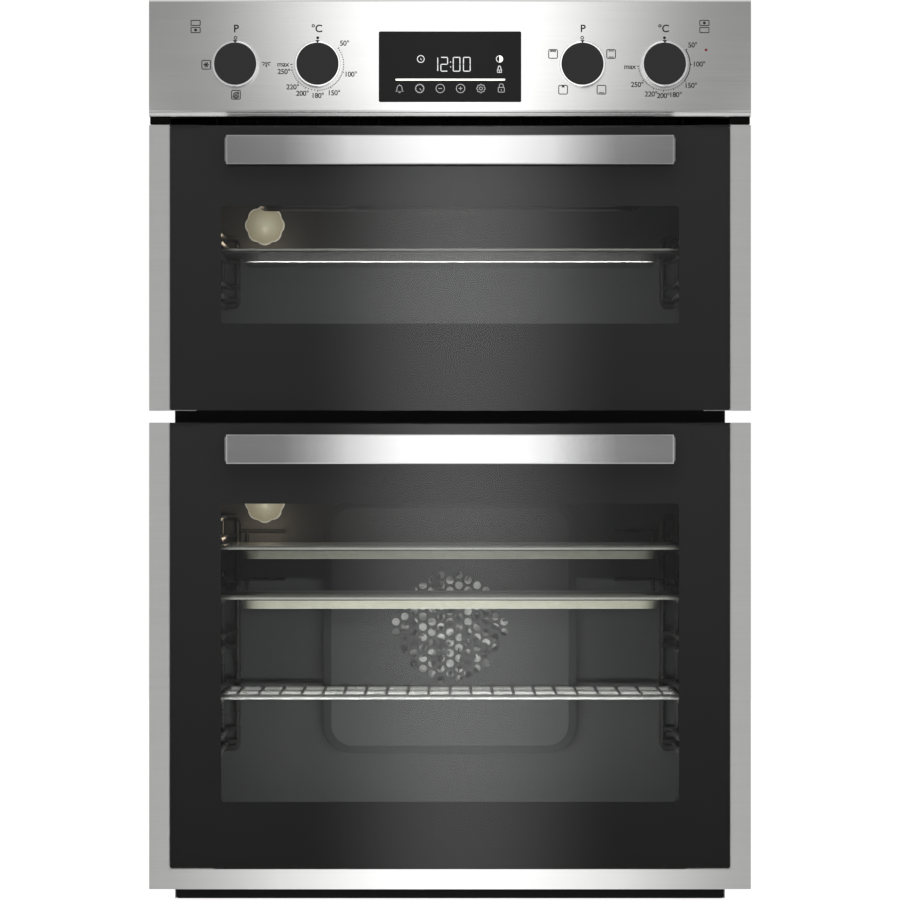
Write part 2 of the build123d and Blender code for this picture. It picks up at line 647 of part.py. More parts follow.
def grill_element(oven):
    """Bent tubular heater under the ceiling, hung from two clips."""
    z = grill_z(oven)
    outer = CAVITY_HALF - GRILL_INSET
    inner = outer - GRILL_BAY
    half = [(20, MUFFLE_BACK + 14), (20, 355), (outer, 355), (outer, 70), (inner, 70), (inner, 300)]
    path = [(x, y, z) for x, y in half] + [(-x, y, z) for x, y in reversed(half)]
    tube = bent_wire(path, TUBE_RADIUS, 20.0)
    flange = block(-34, 34, CAVITY_DEPTH - 2, CAVITY_DEPTH, z - 4.5, z + 9)
    clips = []
    for y in (120, 260):
        for x in (-outer, outer):
            clips.append(block(x - 1, x + 1, y - 6, y + 6, z, oven.ceiling))
    return tube + flange + clips


def bottom_element(oven):
    """Hidden heater under the muffle's floor."""
    z = oven.floor - SHEET - FIT - TUBE_RADIUS
    half = CAVITY_HALF - BOTTOM_INSET
    corners = [(-60, 360), (-half, 360), (-half, 80), (half, 80), (half, 360), (60, 360)]
    return bent_wire([(x, y, z) for x, y in corners], TUBE_RADIUS, 30.0)


def lamp_cover(oven):
    """Glass cap over the lamp, its rim scalloped for the fingers."""
    z, front = lamp_z(oven), CAVITY_DEPTH - 9
    reach = LAMP_RADIUS - LAMP_LOBE
    outline = Circle(LAMP_RADIUS - 2.6)
    for i in range(LAMP_LOBES):
        angle = math.radians((i + 0.5) * 360 / LAMP_LOBES)
        outline += Pos(reach * math.cos(angle), reach * math.sin(angle)) * Circle(LAMP_LOBE)
    cap = Pos(LAMP_X, CAVITY_DEPTH, z) * extrude(Plane.XZ * outline, 9)
    seat = (Align.CENTER, Align.CENTER, Align.MIN)
    dome = Pos(LAMP_X, front, z) * Rot(90, 0, 0) * Cone(LAMP_RADIUS - 5, LAMP_RADIUS - 10, 4, align=seat)
    hollow = rod_y(LAMP_X, z, LAMP_RADIUS - 7, front + 2, CAVITY_DEPTH + 1)
    return cap + dome - hollow


def lamp_holder(oven):
    z = lamp_z(oven)
    socket = rod_y(LAMP_X, z, LAMP_RADIUS - 5, CAVITY_DEPTH + 0.5, MUFFLE_BACK + 34)
    flange = rod_y(LAMP_X, z, LAMP_RADIUS, MUFFLE_BACK, MUFFLE_BACK + 2)
    bulb = rod_y(LAMP_X, z, 8, CAVITY_DEPTH - 4, CAVITY_DEPTH + 0.5)
    bulb = fillet(bulb.edges().filter_by(GeomType.CIRCLE).sort_by(Axis.Y)[0], 3)
    return socket + flange + bulb


# ---- cooling air
def air_duct():
    """Flat duct that leads the cooling air out under the control panel."""
    half, rear = DUCT_WIDTH / 2, BLOWER_Y + BLOWER_SIZE / 2
    duct = block(-half, half, 0, rear, DUCT_BOTTOM, DUCT_TOP)
    duct -= block(-half + SHEET, half - SHEET, -1, rear - SHEET, DUCT_BOTTOM + SHEET, DUCT_TOP - SHEET)
    duct -= rod_z(0, BLOWER_Y, BLOWER_WHEEL - 4, DUCT_TOP - 5, DUCT_TOP + 5)
    jacket_top = UPPER.ceiling + SHEET + FIT + INSULATION
    feet = [block(x - 10, x + 10, 60, rear - 10, jacket_top + FIT, DUCT_BOTTOM) for x in (-180, 180)]
    return duct + feet


def blower_housing():
    half = BLOWER_SIZE / 2
    shell = rounded_plan(-half, half, BLOWER_Y - half, BLOWER_Y + half, DUCT_TOP, HOUSING_TOP, 20)
    shell -= rounded_plan(-half + SHEET, half - SHEET, BLOWER_Y - half + SHEET, BLOWER_Y + half - SHEET,
                          DUCT_TOP - 1, HOUSING_TOP - SHEET, 19)
    return shell - rod_z(0, BLOWER_Y, 36, HOUSING_TOP - 5, HOUSING_TOP + 5)


def blower_motor():
    bar = block(-50, 50, BLOWER_Y - 9, BLOWER_Y + 9, HOUSING_TOP, MOTOR_SEAT)
    body = rod_z(0, BLOWER_Y, 22, MOTOR_SEAT, MOTOR_SEAT + 36)
    coil = block(-30, 30, BLOWER_Y - 16, BLOWER_Y + 16, MOTOR_SEAT + 8, MOTOR_SEAT + 28)
    return bar + body + coil - rod_z(0, BLOWER_Y, 3 + RUNNING_FIT, HOUSING_TOP - 5, MOTOR_SEAT + 30)


def blower_wheel():
    top = HOUSING_TOP - 5.0
    wheel = rod_z(0, BLOWER_Y, BLOWER_WHEEL, WHEEL_BOTTOM, WHEEL_BOTTOM + 1.5)
    wheel += rod_z(0, BLOWER_Y, 10, WHEEL_BOTTOM, top - 4)
    for i in range(18):
        blade = block(BLOWER_WHEEL - 13, BLOWER_WHEEL - 1, -0.6, 0.6, WHEEL_BOTTOM, top)
        wheel += Pos(0, BLOWER_Y, 0) * Rot(0, 0, i * 20) * Pos(0, 8, 0) * blade
    return wheel + rod_z(0, BLOWER_Y, 3, WHEEL_BOTTOM, MOTOR_SEAT + 26)


def air_outlet():
    """Black slotted strip in the gap under the control panel."""
    low = UPPER.door_top + 1.1
    top = FASCIA_BOTTOM
    strip = block(-HALF + 1, HALF - 1, DOOR_FRONT + 6, 0, top - 1.2, top)
    strip += block(-FRAME_HALF, FRAME_HALF, -1.5, 0, low, top)
    slot = block(-DUCT_WIDTH / 2 + 10, DUCT_WIDTH / 2 - 10, -5, 5, low + 1, top - 1.2)
    strip -= slot
    end = block(HALF - 21, HALF - 1, DOOR_FRONT + 3, -2, low, top)
    fins = [block(x - 1, x + 1, DOOR_FRONT + 12, 0, low, top - 1.2) for x in range(-230, 231, 20)]
    return strip + end + other_side(end) + fins


# ---- control panel
def panel_profile(inset, back):
    """Side view of the control panel as (Y, Z), from its lower lip round to the top."""
    front, low, high = DOOR_FRONT + inset, FASCIA_BOTTOM + inset, FASCIA_TOP - inset
    lip = 6.5 - inset
    bend = 1.5
    outline = Polyline((back, low), (front + lip, low))
    outline += RadiusArc((front + lip, low), (front, low + lip), lip)
    top = [(front, low + lip), (front, high - bend), (front + bend, high), (back, high)]
    outline += Polyline(*top, (back, low))
    return make_face(Plane.YZ * outline)


def control_fascia():
    shell = extrude(panel_profile(0, -1.0), HALF, both=True)
    shell -= extrude(panel_profile(PANEL_SHEET, 5.0), HALF - PANEL_SHEET, both=True)
    for _, x in KNOBS:
        shell -= rod_y(x, KNOB_Z, SHAFT_HOLE, DOOR_FRONT - 5, DOOR_FRONT + 5)
    half = DISPLAY_WIDTH / 2 + 0.15
    return shell - rounded(-half, half, DOOR_FRONT - 5, DOOR_FRONT + 5,
                           DISPLAY_TOP - DISPLAY_HEIGHT - 0.15, DISPLAY_TOP + 0.15, 1.6)


def panel_carrier():
    """Plastic moulding that stiffens the panel and carries the switches and the display."""
    half = HALF - PANEL_SHEET - FIT
    low, high = FASCIA_BOTTOM + 12, FASCIA_TOP - 6
    plate = block(-half, half, PANEL_BACK, CARRIER_BACK, low, high)
    for _, x in KNOBS:
        plate -= rod_y(x, KNOB_Z, SHAFT_HOLE, PANEL_BACK - 5, CARRIER_BACK + 5)
    plate -= block(-MODULE_HALF - FIT, MODULE_HALF + FIT, PANEL_BACK - 5, CARRIER_BACK + 5,
                   MODULE_LOW - FIT, MODULE_HIGH + FIT)
    edge_low = block(-half, half, CARRIER_BACK, CARRIER_BACK + 8, low, low + 2)
    edge_high = block(-half, half, CARRIER_BACK, CARRIER_BACK + 8, high - 2, high)
    arm = block(FRAME_HALF - 12, FRAME_HALF - 2, CARRIER_BACK, 0, low, high - 12)
    arm -= block(FRAME_HALF - 10, FRAME_HALF - 1, CARRIER_BACK + 2, -2, low + 2, high - 14)
    return plate + edge_low + edge_high + arm + other_side(arm)


def display_glass():
    half, low = DISPLAY_WIDTH / 2, DISPLAY_TOP - DISPLAY_HEIGHT
    return rounded(-half, half, DOOR_FRONT - 0.3, PANEL_BACK, low, DISPLAY_TOP, 1.5)


def control_board():
    module = block(-MODULE_HALF, MODULE_HALF, PANEL_BACK, CARRIER_BACK + 5, MODULE_LOW, MODULE_HIGH)
    front, back = CARRIER_BACK + 5, CARRIER_BACK + 6.6
    board = block(-88, 88, front, back, MODULE_LOW - 4, MODULE_HIGH + 4)
    chips = [block(x - 9, x + 9, back, back + 3.4, KNOB_Z - 8, KNOB_Z + 8) for x in (-50, 0, 50)]
    posts = [rod_y(x, z, 3, CARRIER_BACK, CARRIER_BACK + 5)
             for x in (-82, 82) for z in (MODULE_LOW - 1, MODULE_HIGH + 1)]
    return module + board + chips + posts


def switch_body(x, round_body):
    """Rotary switch or thermostat on the carrier's back, bored for the knob's shaft."""
    rear = CARRIER_BACK + SWITCH_DEPTH
    if round_body:
        body = rod_y(x, KNOB_Z, SWITCH_SIZE / 2, CARRIER_BACK, rear)
    else:
        half = SWITCH_SIZE / 2
        body = rounded(x - half, x + half, CARRIER_BACK, rear, KNOB_Z - half, KNOB_Z + half, 3)
    tabs = [block(x + dx - 1, x + dx + 1, rear, rear + 8, KNOB_Z - 14, KNOB_Z - 8) for dx in (-10, 0, 10)]
    return body + tabs - rod_y(x, KNOB_Z, SHAFT_RADIUS + RUNNING_FIT, CARRIER_BACK - 5, rear - 5)


def knob(x):
    """Knob cap with its shaft."""
    front, back = DOOR_FRONT - KNOB_PROUD, DOOR_FRONT - KNOB_GAP
    cap = rod_y(x, KNOB_Z, KNOB_RADIUS, front, back)
    cap = chamfer(cap.edges().filter_by(GeomType.CIRCLE).sort_by(Axis.Y)[0], 1.2)
    cap -= rod_y(x, KNOB_Z, KNOB_RADIUS - 3, front + 3, back + 1)
    cap += rod_y(x, KNOB_Z, 7, front + 2, back)
    return cap + rod_y(x, KNOB_Z, SHAFT_RADIUS, front + 2, CARRIER_BACK + SWITCH_DEPTH - 8)


def knob_ring(x):
    """Bright sleeve round the knob."""
    front, back = DOOR_FRONT - KNOB_PROUD + 1.2, DOOR_FRONT - KNOB_GAP
    ring = rod_y(x, KNOB_Z, KNOB_RADIUS + KNOB_RING, front, back)
    ring = fillet(ring.edges().filter_by(GeomType.CIRCLE).sort_by(Axis.Y)[0], 0.7)
    return ring - rod_y(x, KNOB_Z, KNOB_RADIUS, front - 1, back + 1)


# ---- mains connection
def terminal_box():
    """Connection box inside the rear panel; its neck passes through the panel."""
    x, z = TERMINAL_X, TERMINAL_Z
    box = block(x - 35, x + 35, BODY_REAR - 35, BODY_REAR - SHEET, z - 25, z + 25)
    box -= block(x - 33, x + 33, BODY_REAR - 33, BODY_REAR - 3, z - 23, z + 23)
    box += rod_y(x, z, GLAND_RADIUS, BODY_REAR - 4, BODY_REAR + 1.5)
    return box - rod_y(x, z, CABLE_RADIUS, BODY_REAR - 10, BODY_REAR + 5)


# ---- doors
def outer_glass(oven, bottom_strip):
    half = TRIM_INNER - FIT
    low = oven.door_bottom + (bottom_strip + FIT if bottom_strip else 0)
    high = oven.door_top - GLASS_TOP_GAP
    if bottom_strip:
        pane = rounded(-half, half, DOOR_FRONT, GLASS_BACK, low, high, 4)
        pane += block(-half, half, DOOR_FRONT, GLASS_BACK, (low + high) / 2, high)
    else:
        pane = block(-half, half, DOOR_FRONT, GLASS_BACK, low, high)
    hole = rod_y(POST_X, oven.handle_z, STUD_RADIUS + 0.5, DOOR_FRONT - 5, GLASS_BACK + 5)
    return cut(pane, both_sides(hole))


def inner_glass(oven):
    half = INNER_GLASS_WIDTH / 2
    low, high = oven.door_bottom + INNER_GLASS_RISE, oven.door_top - INNER_GLASS_DROP
    inner = rounded(-half, half, -DOOR_BACK - GLASS, -DOOR_BACK, low, high, 5)
    pane_half = CARRIER_HALF + GROOVE - FIT
    middle = block(-pane_half, pane_half, MIDDLE_Y, MIDDLE_Y + GLASS,
                   carrier_low(oven) - GROOVE + FIT, carrier_high(oven) + GROOVE - FIT)
    return [inner, middle]


def carrier_low(oven):
    return oven.door_bottom + 38.0


def carrier_high(oven):
    return oven.door_top - 13.0


def door_carrier(oven):
    """Frame between the panes, with a slotted top rail for the cooling air."""
    outer = CARRIER_HALF + CARRIER_RAIL
    back = -DOOR_BACK - GLASS
    low, high = oven.door_bottom + 2.0, oven.door_top - 0.2
    frame = block(-outer, outer, SEAT_BACK, back, low, carrier_high(oven))
    frame -= block(-CARRIER_HALF, CARRIER_HALF, SEAT_BACK - 5, 0, carrier_low(oven), carrier_high(oven) + 1)
    half = INNER_GLASS_WIDTH / 2
    frame += block(-half, half, SEAT_BACK, -DOOR_BACK, carrier_high(oven), high)
    groove_half = CARRIER_HALF + GROOVE
    frame -= block(-groove_half, groove_half, MIDDLE_Y - 0.15, MIDDLE_Y + GLASS + 0.15,
                   carrier_low(oven) - GROOVE, carrier_high(oven) + GROOVE)
    frame -= block(-half - 1, half + 1, back, 0, oven.door_bottom, oven.door_top - INNER_GLASS_DROP + FIT)
    slots = [rounded_plan(x - 7, x + 7, GLASS_BACK + 7, -DOOR_BACK - 7, high - 4, high + 1, 1.9)
             for x in range(-198, 199, 18)]
    return cut(frame, slots)


def trim_section(oven, low):
    """Folded side trim of a door, right-hand side."""
    high = oven.door_top
    front = block(TRIM_INNER, HALF, DOOR_FRONT, DOOR_FRONT + TRIM_SHEET, low, high)
    outer = block(HALF - TRIM_SHEET, HALF, DOOR_FRONT, -DOOR_BACK, low, high)
    back = block(HALF - 17, HALF, -DOOR_BACK - TRIM_SHEET, -DOOR_BACK, low, high)
    web = block(TRIM_INNER, TRIM_INNER + TRIM_SHEET, DOOR_FRONT, SEAT_BACK, low, high)
    seat = block(TRIM_INNER - TRIM_INNER_FLANGE, TRIM_INNER + TRIM_SHEET, GLASS_BACK, SEAT_BACK, low, high)
    trim = front + outer + back + web + seat
    corner = trim.edges().filter_by(Axis.Z).sort_by(lambda e: e.center().X - e.center().Y)[-1]
    return fillet(corner, 1.0)


def door_trim(oven, strip):
    """Side trims; the lower door's are joined by a strip along its bottom edge."""
    side = trim_section(oven, oven.door_bottom)
    if not strip:
        return both_sides(side)
    low, high = oven.door_bottom, oven.door_bottom + strip
    bar = block(-TRIM_INNER - 1, TRIM_INNER + 1, DOOR_FRONT, DOOR_FRONT + TRIM_SHEET, low, high)
    bar += block(-TRIM_INNER - 1, TRIM_INNER + 1, DOOR_FRONT, HINGE_Y + 6, low, low + TRIM_SHEET)
    bar += block(-TRIM_INNER - 1, TRIM_INNER + 1, DOOR_FRONT, SEAT_BACK, high - TRIM_SHEET, high)
    notch = block(HINGE_PLANE - HINGE_WIDTH / 2 - 2, HINGE_PLANE + HINGE_WIDTH / 2 + 2, HINGE_Y - 10, 0,
                  low - 5, high + 20)
    return [side + other_side(side) + bar - notch - other_side(notch)]


def handle_bar(oven):
    z, half, end = oven.handle_z, HANDLE_HEIGHT / 2, HANDLE_LENGTH / 2
    bar = block(-end, end, HANDLE_FRONT, HANDLE_FRONT + HANDLE_BAR, z - half, z + half)
    return chamfer(bar.edges().group_by(Axis.Y)[0], 1.0)


def handle_posts(oven):
    """Spacer blocks behind the bar, each with a stud and nut through the glass."""
    z, half = oven.handle_z, POST_HEIGHT / 2
    back = HANDLE_FRONT + HANDLE_BAR
    end = HANDLE_LENGTH / 2
    post = rounded(end - POST_LENGTH, end + POST_PEEK, back, DOOR_FRONT, z - half, z + half, 2)
    post += rounded(end, end + POST_PEEK, HANDLE_FRONT + 2, back + 2, z - half, z + half, 0.7)
    post += rod_y(POST_X, z, STUD_RADIUS, DOOR_FRONT - 1, GLASS_BACK + 6)
    post += rod_y(POST_X, z, 6.5, GLASS_BACK, GLASS_BACK + 4)
    return both_sides(post)


def hinge_body(oven):
    """Sprung hinge case in the door's right-hand bottom corner."""
    z, wall = oven.hinge_z, 1.5
    x0, x1 = HINGE_PLANE - HINGE_WIDTH / 2, HINGE_PLANE + HINGE_WIDTH / 2
    low, high = oven.door_bottom + 3, oven.door_bottom + 130
    rear = -DOOR_BACK - GLASS - FIT
    case = block(x0, x1, SEAT_BACK, rear, low, high)
    case -= block(x0 + wall, x1 - wall, SEAT_BACK + wall, 0, low - 1, high - wall)
    case += block(x1 - 1, TRIM_INNER, SEAT_BACK, SEAT_BACK + wall, low, high)
    rod = rod_z(HINGE_PLANE, HINGE_Y, 3.2, z + 24, high - 1)
    coil = rod_z(HINGE_PLANE, HINGE_Y, 5.0, z + 30, high - 14)
    case += rod + coil
    return case - rod_x(x0 - 1, x1 + 1, HINGE_Y, z, HINGE_PIN_RADIUS + RUNNING_FIT)


def hinge_arm(oven):
    """Steel arm from the body to the door's hinge pin, right-hand side, with the pin riveted in."""
    z, x = oven.hinge_z, HINGE_PLANE
    x0, x1 = x - ARM_THICKNESS / 2, x + ARM_THICKNESS / 2
    arm = block(x0, x1, HINGE_Y, ARM_REACH, z - ARM_HEIGHT / 2, z + ARM_HEIGHT / 2)
    arm += rod_x(x0, x1, HINGE_Y, z, 7.5)
    half = HINGE_WIDTH / 2 + 0.3
    return arm + rod_x(x - half, x + half, HINGE_Y, z, HINGE_PIN_RADIUS)


def hinge_receiver(oven, seat):
    """Folded pocket that holds the hinge arm, standing on the sheet below it."""
    z, x = oven.hinge_z, HINGE_PLANE
    front = FRAME_SHEET + SHEET + FIT
    pocket = block(x - 7, x + 7, front, ARM_REACH + 14, z - ARM_HEIGHT / 2 - 3, z + ARM_HEIGHT / 2 + 3)
    pocket -= block(x - ARM_THICKNESS / 2 - 0.1, x + ARM_THICKNESS / 2 + 0.1, front - 1, ARM_REACH + 0.2,
                    z - ARM_HEIGHT / 2 - 0.1, z + ARM_HEIGHT / 2 + 0.1)
    leg = block(x - 7, x + 7, front + 20, front + 40, seat, z - ARM_HEIGHT / 2 - 3)
    return pocket + leg


# ---- writing the nodes

def save_casing():
    save("base_plate", base_plate())
    save("base_strip", base_strip())
    save("side_panels", *both_sides(side_panel()))
    save("rear_panel", rear_panel())
    save("top_cover", top_cover())
    save("divider_plate", divider_plate())
    save("front_frame", front_frame())
    brackets = []
    for z in BRACKET_ROWS:
        brackets += both_sides(cabinet_bracket(z))
    save("cabinet_brackets", *brackets)
    save("chassis_screws", *chassis_screws())
    save("terminal_box", terminal_box())


def save_cavities():
    for oven in OVENS:
        save(f"{oven.name}_cavity", muffle(oven))
        wires = [side_rack(oven)] + back_stops(oven)
        save(f"{oven.name}_side_racks", *wires, *[other_side(wire) for wire in wires])
    save("insulation_jackets", *[insulation(oven) for oven in OVENS])
    save("door_seals", *[door_seal(oven) for oven in OVENS])
    save("upper_baking_tray", tray(UPPER, 1))
    save("lower_baking_trays", tray(LOWER, 3), tray(LOWER, 4))
    save("wire_shelf", wire_shelf(LOWER, 1))
    save("lamp_covers", *[lamp_cover(oven) for oven in OVENS])
    save("lamp_holders", *[lamp_holder(oven) for oven in OVENS])
    save("heating_elements", ring_element(), *[grill_element(oven) for oven in OVENS])
    save("bottom_elements", *[bottom_element(oven) for oven in OVENS])
    save("fan_cover", fan_cover())
    save("fan_impeller", fan_impeller())


def save_air_path():
    save("air_duct", air_duct())
    save("air_outlet", air_outlet())
    save("blower_housing", blower_housing())
    save("blower_wheel", blower_wheel())
    save("fan_motors", fan_motor(), blower_motor())


def save_control_panel():
    save("control_fascia", control_fascia())
    save("panel_carrier", panel_carrier())
    save("display_glass", display_glass())
    save("control_board", control_board())
    save("function_switches", *[switch_body(x, False) for name, x in KNOBS if name.endswith("function")])
    save("thermostats", *[switch_body(x, True) for name, x in KNOBS if name.endswith("temperature")])
    for name, x in KNOBS:
        save(f"{name}_knob", knob(x))
        save(f"{name}_knob_ring", knob_ring(x))


def save_doors():
    receivers, arms = [], []
    for oven, strip, seat in ((LOWER, BOTTOM_STRIP, SHEET), (UPPER, 0.0, DIVIDER_Z)):
        save(f"{oven.name}_door_outer_glass", outer_glass(oven, strip))
        save(f"{oven.name}_door_inner_glass", *inner_glass(oven))
        save(f"{oven.name}_door_carrier", door_carrier(oven))
        save(f"{oven.name}_door_trim", *door_trim(oven, strip))
        save(f"{oven.name}_handle_bar", handle_bar(oven))
        save(f"{oven.name}_handle_posts", *handle_posts(oven))
        save(f"{oven.name}_hinge_bodies", *both_sides(hinge_body(oven)))
        receivers += both_sides(hinge_receiver(oven, seat))
        arms += both_sides(hinge_arm(oven))
    save("hinge_receivers", *receivers)
    save("hinge_arms", *arms)


os.makedirs("parts", exist_ok=True)
save_casing()
save_cavities()
save_air_path()
save_control_panel()
save_doors()
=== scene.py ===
import math

import bmesh
import bpy
from mathutils import Matrix, Vector


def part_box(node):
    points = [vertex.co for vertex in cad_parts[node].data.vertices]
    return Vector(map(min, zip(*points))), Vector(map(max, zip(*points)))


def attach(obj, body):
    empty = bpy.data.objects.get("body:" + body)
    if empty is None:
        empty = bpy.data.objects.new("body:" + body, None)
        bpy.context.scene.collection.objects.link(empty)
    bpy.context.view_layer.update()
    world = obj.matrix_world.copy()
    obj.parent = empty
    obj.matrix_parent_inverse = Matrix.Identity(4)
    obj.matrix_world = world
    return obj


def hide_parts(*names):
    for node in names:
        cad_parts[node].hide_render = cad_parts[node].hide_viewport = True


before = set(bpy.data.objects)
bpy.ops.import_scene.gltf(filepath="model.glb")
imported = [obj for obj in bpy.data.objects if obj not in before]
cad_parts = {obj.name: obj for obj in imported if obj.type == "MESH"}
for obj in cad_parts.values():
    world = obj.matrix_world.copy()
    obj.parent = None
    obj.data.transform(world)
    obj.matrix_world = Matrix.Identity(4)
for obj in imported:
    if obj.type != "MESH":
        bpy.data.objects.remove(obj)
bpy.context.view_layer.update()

MM = 0.001
scene = bpy.context.scene
KNOBS = ("lower_oven_function", "lower_oven_temperature", "upper_oven_temperature", "upper_oven_function")

# ---- sizes, in millimetres unless they say otherwise
VIEW_HEIGHT = 888.0            # height of the camera's view at the front plane
VIEW_DISTANCE = 10000.0        # camera ahead of the front plane
SENSOR = 36.0                  # width of the camera's sensor

WINDOW_HALF = 226.0            # clear window in each door's black print
WINDOW_DROP = 80.0             # window's top below the door's top
WINDOW_RISE = 86.0             # window's bottom above the door's bottom
WINDOW_CORNER = 3.0
PRINT_EDGE = 0.6               # black print stops this short of the glass's edge
TRAY_PITCH = 49.55             # from one lower tray to the next
FLAP_SPAN = (268.0, 290.0)     # ends of an outlet flap, from the oven's middle
FLAP_DEPTH = (-3.8, -2.7)      # its front and back
CORNER_SPAN = (246.0, 276.6)   # ends of the black edge in a door's upper corner, from the middle

LAMP_GLASS = 19.9              # radius of a lamp's glass cover
LAMP_SCALLOPS = 8
LAMP_SCALLOP = 0.09            # depth of a scallop as a share of the radius

INK = 0.08                     # thickness of a printed mark
INK_LINE = 0.86                # width of a printed line on the steel
DIAL_DOTS = 25.6               # radius of a dial's ring of dots
DIAL_LABELS = 31.0             # radius of a dial's numbers at its top and bottom
ZERO_MARK = 26.2               # height of the off mark above a knob's middle
LABEL_HEIGHT = 5.1             # capital height of the dial numbers
TITLE_HEIGHT = 7.5             # capital height of the letters above the knobs
TITLE_RISE = 35.0              # those letters above a knob's middle
LOWER_SCALE = (("50°", 52, 9), ("100°", 107, 9), ("150°", 150.5, 5), ("180°", 180, 3),
               ("200°", 207.5, 3), ("220°", 227.5, 5), ("250°", 257.5, 1), ("max", 270, 0))
UPPER_SCALE = (("50°", 56, 0), ("100°", 90, 0), ("150°", 129, 5), ("180°", 160, 3),
               ("200°", 182, 3), ("220°", 204, 5), ("250°", 233, 5), ("max", 266, 0))

CLOCK_LINE = 0.9               # widths of the display's lit lines
STATUS_LINE = 0.75
KEY_LINE = 0.6
CLOCK_RISE = 30.4              # clock's foot above the display's lower edge
STATUS_RISE = 42.4             # upper status symbols above it
KEY_RISE = 13.3                # touch symbols above it
STATUS_SIDE = 48.8             # right-hand status symbols beside the oven's middle

# in metres
CARD_AHEAD = 1.5               # light cards ahead of the front plane
CARD_HALF = 1.2
CARD_EDGE = (0.319, 0.331)     # where a card's edge light starts and is full, from the oven's middle
FOLD_CARD_TOP = -0.12          # top of the card that only the panel's lower fold mirrors
WALL_LIGHT_Y = 0.352           # panel that lights an oven's rear wall
TRAY_LIGHT_Y = 0.012           # low strip that lights the tray fronts
OVEN_LIGHTS = (("lower", 0.22, 4.1), ("upper", 0.15, 2.1))      # watts of the panel and of the strip


# ---- small tools
def rgb(hex_colour):
    """Linear red, green, blue and alpha from an sRGB hex colour."""
    parts = [int(hex_colour[i:i + 2], 16) / 255 for i in (1, 3, 5)]
    return tuple(c / 12.92 if c <= 0.04045 else ((c + 0.055) / 1.055) ** 2.4 for c in parts) + (1.0,)


def add(tree, kind, inputs=None, into=None, **settings):
    """Adds a node. inputs gives its sockets values or other nodes' outputs, settings its own properties, and into
    is the socket that its first output feeds."""
    node = tree.nodes.new(kind)
    for name, value in settings.items():
        setattr(node, name, value)
    for socket, value in (inputs or {}).items():
        if isinstance(value, bpy.types.NodeSocket):
            tree.links.new(value, node.inputs[socket])
        else:
            node.inputs[socket].default_value = value
    if into:
        tree.links.new(node.outputs[0], into)
    return node


def empty_material(name):
    """A material with an empty node tree, and that tree."""
    made = bpy.data.materials.new(name)
    made.use_nodes = True
    made.node_tree.nodes.clear()
    return made, made.node_tree


def new_material(name, inputs):
    """A material with one Principled surface set from inputs, and the piece's own Object coordinates."""
    made, tree = empty_material(name)
    place = add(tree, "ShaderNodeTexCoord").outputs["Object"]
    surface = add(tree, "ShaderNodeBsdfPrincipled", inputs)
    add(tree, "ShaderNodeOutputMaterial", {"Surface": surface.outputs[0]})
    return made, tree, surface, place


def grain(tree, place, per_metre, detail=2.0, rough=0.5):
    """A noise pattern with that many features a metre, along each axis or along all of them."""
    scale = per_metre if isinstance(per_metre, tuple) else (per_metre,) * 3
    placed = add(tree, "ShaderNodeMapping", {"Vector": place, "Scale": scale})
    return add(tree, "ShaderNodeTexNoise", {"Vector": placed.outputs[0], "Scale": 1.0, "Detail": detail,
                                            "Roughness": rough}).outputs["Fac"]


def vary(surface, pattern, colours=None, roughness=None, spread=(0.3, 0.7), relief=None):
    """Lets a pattern change a surface: its colour between two hex colours, its roughness between two values as the
    pattern runs over spread, and its height by relief, a real depth in millimetres."""
    tree = surface.id_data
    if colours:
        blend = add(tree, "ShaderNodeMix", {0: pattern, 6: rgb(colours[0]), 7: rgb(colours[1])}, data_type="RGBA")
        tree.links.new(blend.outputs[2], surface.inputs["Base Color"])
    if roughness:
        add(tree, "ShaderNodeMapRange", {0: pattern, 1: spread[0], 2: spread[1], 3: roughness[0], 4: roughness[1]},
            surface.inputs["Roughness"])
    if relief:
        add(tree, "ShaderNodeBump", {"Height": pattern, "Distance": relief * MM, "Strength": 1.0},
            surface.inputs["Normal"])


# ---- finishes
def brushed_steel(name, colours, roughness, anisotropy, middle=None, reach=(0.1, 0.165)):
    """Stainless steel brushed along the oven's width: fine level lines, and reflections drawn out up and down.
    In the middle of its width it is the paler colour middle, a painted highlight that stands in for
    the light cards' reflection."""
    made, tree, surface, place = new_material(name, {
        "Metallic": 1.0, "Roughness": roughness, "Anisotropic": anisotropy, "Anisotropic Rotation": 0.25})
    # Brush lines are 0.1 mm wide; they are drawn 1.2 mm wide and 90 mm long, as coarse as they need to show.
    lines = grain(tree, place, (11, 11, 830), 3.0, 0.6)
    patches = grain(tree, place, (3, 3, 60), 1.0)
    metal = add(tree, "ShaderNodeMix", {0: lines, 6: rgb(colours[0]), 7: rgb(colours[1])}, data_type="RGBA")
    if middle:
        # Painted highlight: paler towards the middle of the width, where the cards' reflection falls.
        across = add(tree, "ShaderNodeSeparateXYZ", {0: place}).outputs[0]
        away = add(tree, "ShaderNodeMath", {0: across}, operation="ABSOLUTE").outputs[0]
        painted_highlight_share = add(tree, "ShaderNodeMapRange", {0: away, 1: reach[0], 2: reach[1], 3: 1, 4: 0}).outputs[0]
        metal = add(tree, "ShaderNodeMix", {0: painted_highlight_share, 6: metal.outputs[2], 7: rgb(middle)}, data_type="RGBA")
    tree.links.new(metal.outputs[2], surface.inputs["Base Color"])
    both = add(tree, "ShaderNodeMath", {0: lines, 1: patches}, operation="MULTIPLY").outputs[0]
    vary(surface, both, None, (roughness * 0.93, roughness * 1.07), (0.1, 0.4))
    add(tree, "ShaderNodeTangent", None, surface.inputs["Tangent"], direction_type="RADIAL", axis="Z")
    vary(surface, lines, relief=0.012)
    return made


